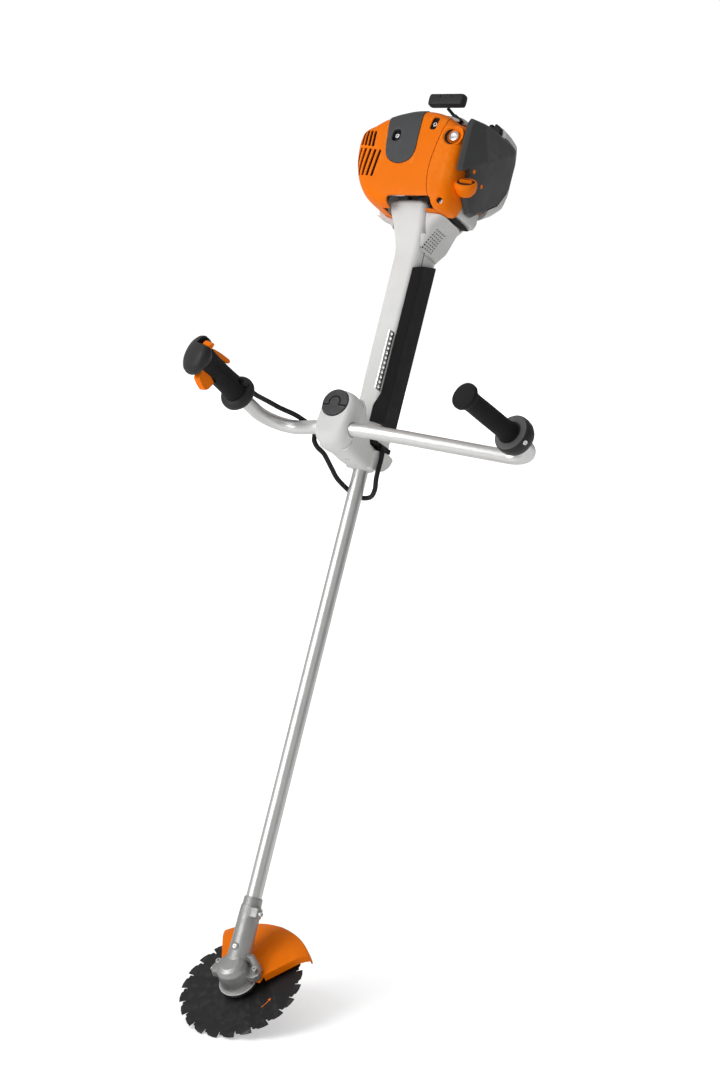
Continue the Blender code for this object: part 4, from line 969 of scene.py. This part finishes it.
def build_tank():
    sections = []
    for lower, upper in zip(TANK_LEVELS, TANK_LEVELS[1:]):
        for k in range(4):
            u, *sides = (a * (1 - k / 4) + b * k / 4 for a, b in zip(lower, upper))
            sections.append((round_corners(rectangle(*sides), 26, 8), u))
    u, *sides = TANK_LEVELS[-1]
    sections.append((round_corners(rectangle(*sides), 26, 8), u))
    tank = loft("fuel_tank_shell", sections, ENGINE)
    carve(tank, block("engine_room", (-100, 1404, -53), (100, 1597, 40), ENGINE))
    carve(tank, cover_solid("cover_gap", 1.012, 1, 107))
    carve(tank, spin("recess", [(0, -48), (11, -48), (11, -41), (18, -41), (18, 40), (0, 40)], 48, CAP))
    piece(bevel(tank, 0.8, 2, 40), PALE_WARM, "fuel_tank", 36)


def build_fuel_cap():
    outline = []
    for i, (c, s) in enumerate(circle(96)):
        radius = 16.8 + (0.6 if i % 6 < 3 else -0.4)
        outline.append((radius * c, radius * s))
    sections = [(outline, -36), (outline, -13.5), (scaled(outline, 0.95), -11.8),
        (scaled(outline, 0.86), -11)]
    cap = loft("tank_cap", sections, CAP)
    carve(cap, rod("plug", 10.5, -45, -37, 32, CAP), operation="UNION")
    carve(cap, *[block("grip", (-3.2, y, -20), (3.2, y + 10, 0), CAP) for y in (-20, 10)])
    piece(cap, BLACK, "fuel_cap", 30, "cap")


def clutch_face(z):
    """How far the clutch housing reaches to the right at a height."""
    return 37 + (z - 1338) * 0.5 if z < 1378 else 58 + (z - 1378) * 1.1


def build_clutch_housing():
    levels = [(1338, -31, 37, -44, 38), (1345, -32, 40, -46, 40), (1362, -34, 48, -50, 48),
        (1378, -39, 58, -58, 54), (1394, -52, 76, -64, 57), (1402, -66, 90, -66, 58),
        (1408, -84, 104, -66, 58)]
    sections = []
    for z, x0, x1, y0, y1 in levels:
        corners = [(x0, y0), (x1, y0), (x1, 4), (min(40, x1 - 8), y1), (max(-34, x0 + 8), y1), (x0, 8)]
        sections.append((round_corners(corners, 15, 7), z))
    housing = loft("clutch_cover", sections)
    carve(housing, block("low_front_room", (-140, -140, 1300), (35, -16, 1366)))
    carve(housing, block("high_front_room", (-140, -140, 1365), (44.5, -30, 1450)))
    carve(housing, rod("clutch_room", 36, 1374, 1430, 48), rod("bearing_bore", 14.6, 1300, 1400, 48))
    carve(housing, leg_solid("leg_gap", -1.4, 960, 1366))
    front_gap = leg_solid("front_gap", -6.2, 1360, 1440)
    carve(front_gap, block("behind", (-200, 0, 1200), (200, 200, 1500)))
    carve(housing, front_gap)
    carve(housing, shroud_solid("shroud_gap", 1.01, -19, 1))
    reaches = ((1404, 101), (1412, 105), (1432, 105.5))
    corner = [(round_corners(rectangle(54, reach, -48.5, 22), 12, 6), z) for z, reach in reaches]
    carve(housing, loft("right_corner", corner), operation="UNION")
    vents, shade_blocks = [], []
    for row in range(8):
        for column in range(5):
            z, y = 1342 + 5.0 * row, -40 + 7.2 * column
            start = clutch_face(z)
            vents.append(block("vent", (start - 5, y, z), (start + 40, y + 4.2, z + 3.0)))
            # Painted shade: a near-black block at the bottom of each vent.
            low, high = (start - 5.5, y - 0.3, z - 0.3), (start - 1.8, y + 4.5, z + 3.3)
            shade_blocks.append(block("vent_shade_block", low, high))
    carve(housing, join("vents", vents))
    piece(bevel(housing, 0.5, 2, 50), PALE_WARM, "clutch_housing", 36)
    piece(join("vent_painted_shade", shade_blocks), PAINTED_SHADE)


def rope_frame():
    """Where the rope leaves the starter housing, pointing along the pull."""
    axis = axis_of("starter_pull")
    return along(middle_mm("starter_rope") - axis * 16, axis)


def build_starter():
    levels = [(1582.5, -58, 72, -16, 66), (1587, -57.5, 71, -16, 65.5), (1592, -54, 68, -16, 63),
        (1596, -48, 64, -16, 59), (1599, -40, 58, -16, 52)]
    rings = [[(x, -u, z) for x, u in round_corners(rectangle(*sides), 26, 8)][::-1] for z, *sides in levels]
    housing = skin("starter_cover", rings)
    carve(housing, rod("rope_hole", 6.6, -20, 60, 40, rope_frame()))
    piece(bevel(housing, 0.8, 2, 40), PALE_WARM, "starter_housing", 36)
    middle = middle_mm("starter_grip")
    place = at(middle.x, middle.y, box_mm("starter_grip")[0].z)
    outline = round_corners(rectangle(-38, 38, -9.4, 9.4), 7, 6)
    levels = [(0.86, 0), (0.95, 1.2), (0.985, 4), (1.0, 10), (0.995, 15), (0.96, 19), (0.90, 20.6),
        (0.82, 21)]
    sections = [([(x * (0.6 + 0.4 * f), y * f) for x, y in outline], z) for f, z in levels]
    grip = loft("pull_handle", sections, place)
    carve(grip, *[block("notch", (x - 0.6, -20, 14), (x + 0.6, 20, 40), place) for x in (-12, 12)])
    piece(bevel(grip, 0.4, 2, 50), BLACK, "starter_grip", 40, "pull_grip")


def build_cord():
    """The pull cord: a straight round bar along the pull, over the length of the CAD rope."""
    low, high = box_mm("starter_rope")
    axis = axis_of("starter_pull")
    reach = axis * (max((high - low).dot(axis) / 2, 12) + 1)
    start, end = (low + high) / 2 - reach, (low + high) / 2 + reach
    path = [start.lerp(end, i / 24) for i in range(25)]
    cord = sweep("pull_cord", path, 3.0, 20, Matrix.Identity(4))
    dress(cord, RUBBER, "starter_rope", 50)
    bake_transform(cord)
    sleeve = [(3.4, -12), (5.6, -12), (5.4, 0), (4.8, 6), (4.4, 8), (3.4, 8)]
    piece(spin("cord_guide", sleeve, 32, rope_frame(), hollow=True), BLACK)


def build_engine():
    for build in (build_shroud_left, build_shroud_right, build_painted_shade_liner, build_valve, build_plug_cover,
            build_choke, build_filter_cover, build_tank, build_fuel_cap, build_clutch_housing,
            build_starter, build_cord):
        build()


# --- handles ---


def build_plain_grip():
    profile = [(0, 118.4), (9, 118.0), (18, 116.8), (21.6, 117.2), (23.4, 116), (24, 113), (23.8, 109.5),
        (21.5, 106), (18.8, 101.5), (17.4, 95), (17.0, 85), (17.3, 60), (17.3, 30), (17.3, 5), (17.8, -3),
        (18.6, -9.5), (19.6, -14.6), (13.1, -14.6), (13.1, 106), (0, 106)]
    piece(spin("left_handle", profile, 72, GRIP), RUBBER, "left_grip", 40, "bar")
    place = GRIP @ at(4, 0, -15)
    profile = [(0, -0.6), (28.2, -0.6), (31.4, 0.2), (33.4, -1.6), (34.4, -5), (34.6, -12), (33.4, -20),
        (30, -27), (24.5, -31.5), (0, -31.5)]
    collar = spin("handle_ring", profile, 96, place)
    carve(collar, rod("bore", 13.1, -60, 60, 56, GRIP))
    side = place @ Matrix.Rotation(math.radians(-27), 4, "Z") @ at(0, 0, -9) @ SIDEWAYS
    carve(collar, rod("seat", 5.6, 31.0, 60, 32, side))
    piece(bevel(collar, 0.6, 2, 40), BLACK, "grip_collar", 28, "bar")
    # The ring's face, in a lighter grey than the black ring: painted light where the light falls on it.
    profile = [(20.4, -0.5), (20.4, 0.6), (27.6, 1.4), (31.6, 0.8), (31.9, -0.2), (31.6, -0.5)]
    face = spin("handle_ring_face", profile, 96, place, hollow=True)
    carve(face, rod("face_bore", 20.2, -30, 30, 56, GRIP))
    piece(face, COLLAR_FACE_PAINTED_LIGHT, body="bar")
    socket_screw("handle_ring_screw", side @ at(0, 0, 31.2), 4.4, 3.6, "grip_screw", BRIGHT, "bar")


def cable_room():
    """Room for the throttle cable where it enters the control handle."""
    return rod("cable_room", 5, 60, 130, 24, CONTROL @ at(20, 11, 0))


def build_control_handle():
    flange = spin("control_ring", [(13.1, 107), (20.5, 107), (25, 106.4), (29.5, 104), (32, 100.5),
        (32.6, 97), (32.2, 93), (29, 88.5), (24, 85.5), (13.1, 84)], 96, CONTROL, hollow=True)
    carve(flange, cable_room())
    piece(bevel(flange, 0.5, 2, 40), BLACK, "control_flange", 30, body="bar")
    for name, side in (("control_shell_front", -1), ("control_shell_rear", 1)):
        profile = [(15.6, 222), (21.5, 222), (20.6, 214), (19.9, 204), (19.2, 185), (19.0, 160),
            (19.4, 135), (20.2, 118), (21.4, 107.4), (15.6, 107.4)]
        swell = Matrix.Diagonal((1, 1.26, 1, 1)) if side > 0 else Matrix.Identity(4)
        shell = spin(f"{name}_grip", profile, 80, CONTROL @ swell, hollow=True)
        low, high = (-60, 0.25) if side > 0 else (-0.25, 60)
        width, start = (7.5, 172) if side < 0 else (5.5, 186)
        near, far = (4, 40) if side > 0 else (-40, -4)
        cutters = [block("half", (-40, low, 90), (40, high, 240), CONTROL), cable_room(),
            block("lever_slot", (-width, near, start), (width, far, 230), CONTROL)]
        if side > 0:
            cutters.append(block("lever_bed", (-width, 16.2, 146), (width, far, start + 4), CONTROL))
        carve(shell, *cutters)
        piece(bevel(shell, 0.35, 2, 50), RUBBER, name, 36, body="bar")
    build_control_head()
    build_levers()


def build_control_head():
    """The palm rest on the end of the control handle: an oval dome that leans outwards, on a short neck."""
    lean = CONTROL @ at(3, 0, 226) @ Matrix.Rotation(math.radians(-24), 4, "Y")
    lean = lean @ Matrix.Rotation(math.radians(20), 4, "Z")
    profile = [(18, -1), (27, -1), (31.5, 1), (34, 5), (35, 9), (34.6, 13), (32.6, 17), (28, 20.6),
        (20, 23.2), (10, 24.6), (3, 25.0)]
    oval = [(0.97 * c, 1.08 * s) for c, s in circle(80)]
    head = loft("control_cap", [(scaled(oval, radius), height) for radius, height in profile], lean)
    neck = spin("neck", [(0, 222.4), (21.2, 222.4), (24, 228), (26, 236), (0, 236)], 80, CONTROL)
    carve(head, neck, operation="UNION")
    turned = CONTROL @ Matrix.Rotation(math.radians(-18), 4, "Z")
    carve(head, block("pocket", (-5, 16.6, 234), (26, 60, 262), turned))
    piece(bevel(head, 0.9, 2, 40), BLACK, "control_head", 30, body="bar")
    side = turned @ axes(Vector((0, 0, 0)), Y, Z, X)
    switch = prism("stop_slider", [(18.6, 235.2), (28, 235.6), (30, 239), (27, 243.5), (20.5, 245.5),
        (18.6, 245)], 2.5, 19.5, side)
    piece(bevel(switch, 1.0, 3, 40), ORANGE_TRIM, "stop_switch", body="switch")


def lever_solid(name, outline, width):
    side = CONTROL @ axes(Vector((0, 0, 0)), Y, Z, X)
    outline = anticlockwise(round_corners(outline, 2.5, 3))
    return bevel(prism(name, outline, -width / 2, width / 2, side), 1.3, 3, 40)


def build_levers():
    trigger = [(-11, 218), (-23, 220), (-36, 218), (-42, 204), (-44.5, 191), (-39, 184.5), (-28, 178),
        (-22, 176), (-13, 198)]
    piece(lever_solid("throttle_lever", trigger, 13), ORANGE_TRIM, "throttle_trigger", 30, body="trigger")
    lockout = [(10, 219), (17, 220.5), (25, 215), (29.5, 203), (33, 182), (35.5, 156), (34, 152),
        (30.5, 152), (27, 156), (23.5, 178), (20.5, 192), (15, 198), (10, 208)]
    piece(lever_solid("safety_lever", lockout, 9), ORANGE_TRIM, "lockout_lever", 30, body="lockout")


def build_cable():
    in_clamp = [(-122, 11, 140), (-122, 11, 96), (-121, 19, 52), (-110, 20, 26), (-90, 20, 0),
        (-74, 15, -24), (-62, 2, -32), (-54, -14, -28), (-48, -23, -36)]
    points = [CLAMP @ Vector(point) for point in in_clamp]
    rest = [(-40, -68, 925), (-34, -44, 908), (-29, -18, 893), (-14, 26, 880), (12, 30, 880), (30, 14, 890),
            (36, 0, 912), (36, 0, 952), (31, 1, 967), (17, 9, 973), (15, 12, 992)]
    points += [WORLD @ Vector(point) for point in rest]
    cable = sweep("control_cable", smooth_path(points, 8), 4.5, 20, Matrix.Identity(4))
    dress(cable, CABLE, "throttle_cable", 50)
    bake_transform(cable)


def build_pieces():
    for build in (build_blade, build_gearbox, build_guard, build_bar, build_tube, build_clamp_lid,
            build_knob, build_support, build_leg, build_pad, build_strip, build_engine, build_plain_grip,
            build_control_handle, build_cable):
        build()


# --- inner CAD nodes, shown as they are ---

INNER_LOOKS = {
    BLACK: "clutch_shoes",
    RUBBER: "shaft_bush_lower shaft_bush_upper",
    CAST: "crankcase cylinder carburettor flywheel",
    STEEL: "blade_nut output_shaft output_gear drive_pinion drive_shaft clutch_drum crankshaft"
           " spark_plug muffler",
    FELT: "air_filter",
}


def dress_inner_nodes():
    for look, names in INNER_LOOKS.items():
        for name in names.split():
            paint(frame["nodes"][name].data, look, 30)


# --- studio ---

FLOOR_NORMAL = Vector((0, -0.439, 0.8986)).normalized()
FLOOR_TOUCH = BLADE_TOP - BLADE_THICKNESS - 0.6
FLOOR_REACH = 9000


def floor_point():
    """The lowest point of the blade's rim along the floor's normal."""
    rim = [HEAD @ Vector((BLADE_RADIUS * c, BLADE_RADIUS * s, FLOOR_TOUCH)) for c, s in circle(180)]
    return min(rim, key=FLOOR_NORMAL.dot)


def floor_look():
    """White studio paper that is seen from its upper side only."""
    made = bpy.data.materials.new("studio_floor")
    made.use_nodes = True
    tree = made.node_tree
    place = add(tree, "TexCoord")["Object"]
    away = add(tree, "VectorMath", {0: place, 1: CENTRE * MM}, operation="DISTANCE")["Value"]
    seen = ramp(tree, add(tree, "LightPath")["Is Camera Ray"], 0, 1, 0.25, 1.0)
    # The paper glows so that it reads white; the glow is weaker near the blade, a painted shade round the
    # machine.
    paper_glow_with_painted_shade = add(tree, "Math", {0: ramp(tree, away, 0.45, 1.5, 0.42, 1.0), 1: seen}, operation="MULTIPLY")
    paper = tree.nodes["Principled BSDF"]
    feed(tree, paper, {"Base Color": (0.93, 0.93, 0.93, 1), "Roughness": 0.85, "Specular IOR Level": 0.1,
        "Emission Color": (1, 1, 1, 1), "Emission Strength": paper_glow_with_painted_shade["Value"]})
    behind = add(tree, "NewGeometry")["Backfacing"]
    clear = add(tree, "BsdfTransparent")["BSDF"]
    shown = add(tree, "MixShader", {"Fac": behind, 1: paper.outputs["BSDF"], 2: clear})
    feed(tree, tree.nodes["Material Output"], {"Surface": shown["Shader"]})
    return made


def build_floor():
    rows = [[(-FLOOR_REACH, y, 0), (FLOOR_REACH, y, 0)] for y in (-FLOOR_REACH, FLOOR_REACH)]
    floor = skin("studio_floor_sheet", rows, along(floor_point(), FLOOR_NORMAL), closed=False)
    if floor.data.polygons[0].normal.dot(FLOOR_NORMAL) < 0:
        floor.data.flip_normals()
    floor.data.materials.append(floor_look())


CAMERA_RIGHT = Vector((0.8426, 0.4838, 0.2364)).normalized()
CAMERA_UP = Vector((-0.0937, -0.3006, 0.9491)).normalized()
CAMERA_BACK = Vector((0.5303, -0.8219, -0.2079)).normalized()
CAMERA_OFFSET = Vector((2.217, -3.383, -0.064))
SENSOR_MM = 36
FOCAL_SHARE = 2300 / 1080


def build_camera():
    data = bpy.data.cameras.new("main_camera")
    data.lens = FOCAL_SHARE * SENSOR_MM
    camera = bpy.data.objects.new("main_camera", data)
    camera.matrix_world = axes(CENTRE * MM + CAMERA_OFFSET, CAMERA_RIGHT, CAMERA_UP, CAMERA_BACK)
    bpy.context.scene.collection.objects.link(camera)
    bpy.context.scene.camera = camera


def build_world():
    """White for the camera; as light, bright at the upper left and dim at the lower right."""
    world = bpy.data.worlds.new("studio_world")
    bpy.context.scene.world = world
    world.use_nodes = True
    tree = world.node_tree
    tree.nodes.clear()
    bright_side = (CAMERA_UP * 0.75 - CAMERA_RIGHT * 0.65).normalized()
    place = add(tree, "TexCoord")["Generated"]
    lean = add(tree, "VectorMath", {0: place, 1: bright_side}, operation="DOT_PRODUCT")["Value"]
    level = ramp(tree, lean, -0.7, 0.9, 0.15, 0.58)
    soft = add(tree, "Background", {"Color": (1, 1, 1, 1), "Strength": level})["Background"]
    white = add(tree, "Background", {"Color": (1, 1, 1, 1), "Strength": 1.05})["Background"]
    seen = add(tree, "LightPath")["Is Camera Ray"]
    choice = add(tree, "MixShader", {"Fac": seen, 1: soft, 2: white})["Shader"]
    add(tree, "OutputWorld", {"Surface": choice})


def area_light(name, offset, size, power):
    """A soft box at an offset in metres along the camera's right, up and back."""
    data = bpy.data.lights.new(name, "AREA")
    data.shape = "RECTANGLE"
    data.size, data.size_y = size
    data.energy = power
    light = bpy.data.objects.new(name, data)
    aim = CENTRE * MM + MACHINE_MIDDLE
    spot = aim + CAMERA_RIGHT * offset[0] + CAMERA_UP * offset[1] + CAMERA_BACK * offset[2]
    light.matrix_world = along(spot, spot - aim)
    bpy.context.scene.collection.objects.link(light)


MACHINE_MIDDLE = Vector((0, 0, 0.72))


def build_lights():
    area_light("key_box", (-2.2, 1.3, 1.7), (1.5, 2.6), 52)
    area_light("fill_box", (1.4, 0.6, 2.6), (1.6, 2.4), 4)
    area_light("edge_strip", (2.0, 1.2, -1.4), (0.5, 2.4), 0.8)


build_pieces()
dress_inner_nodes()
build_floor()
build_camera()
build_world()
build_lights()
bpy.context.scene.view_settings.view_transform = "Standard"
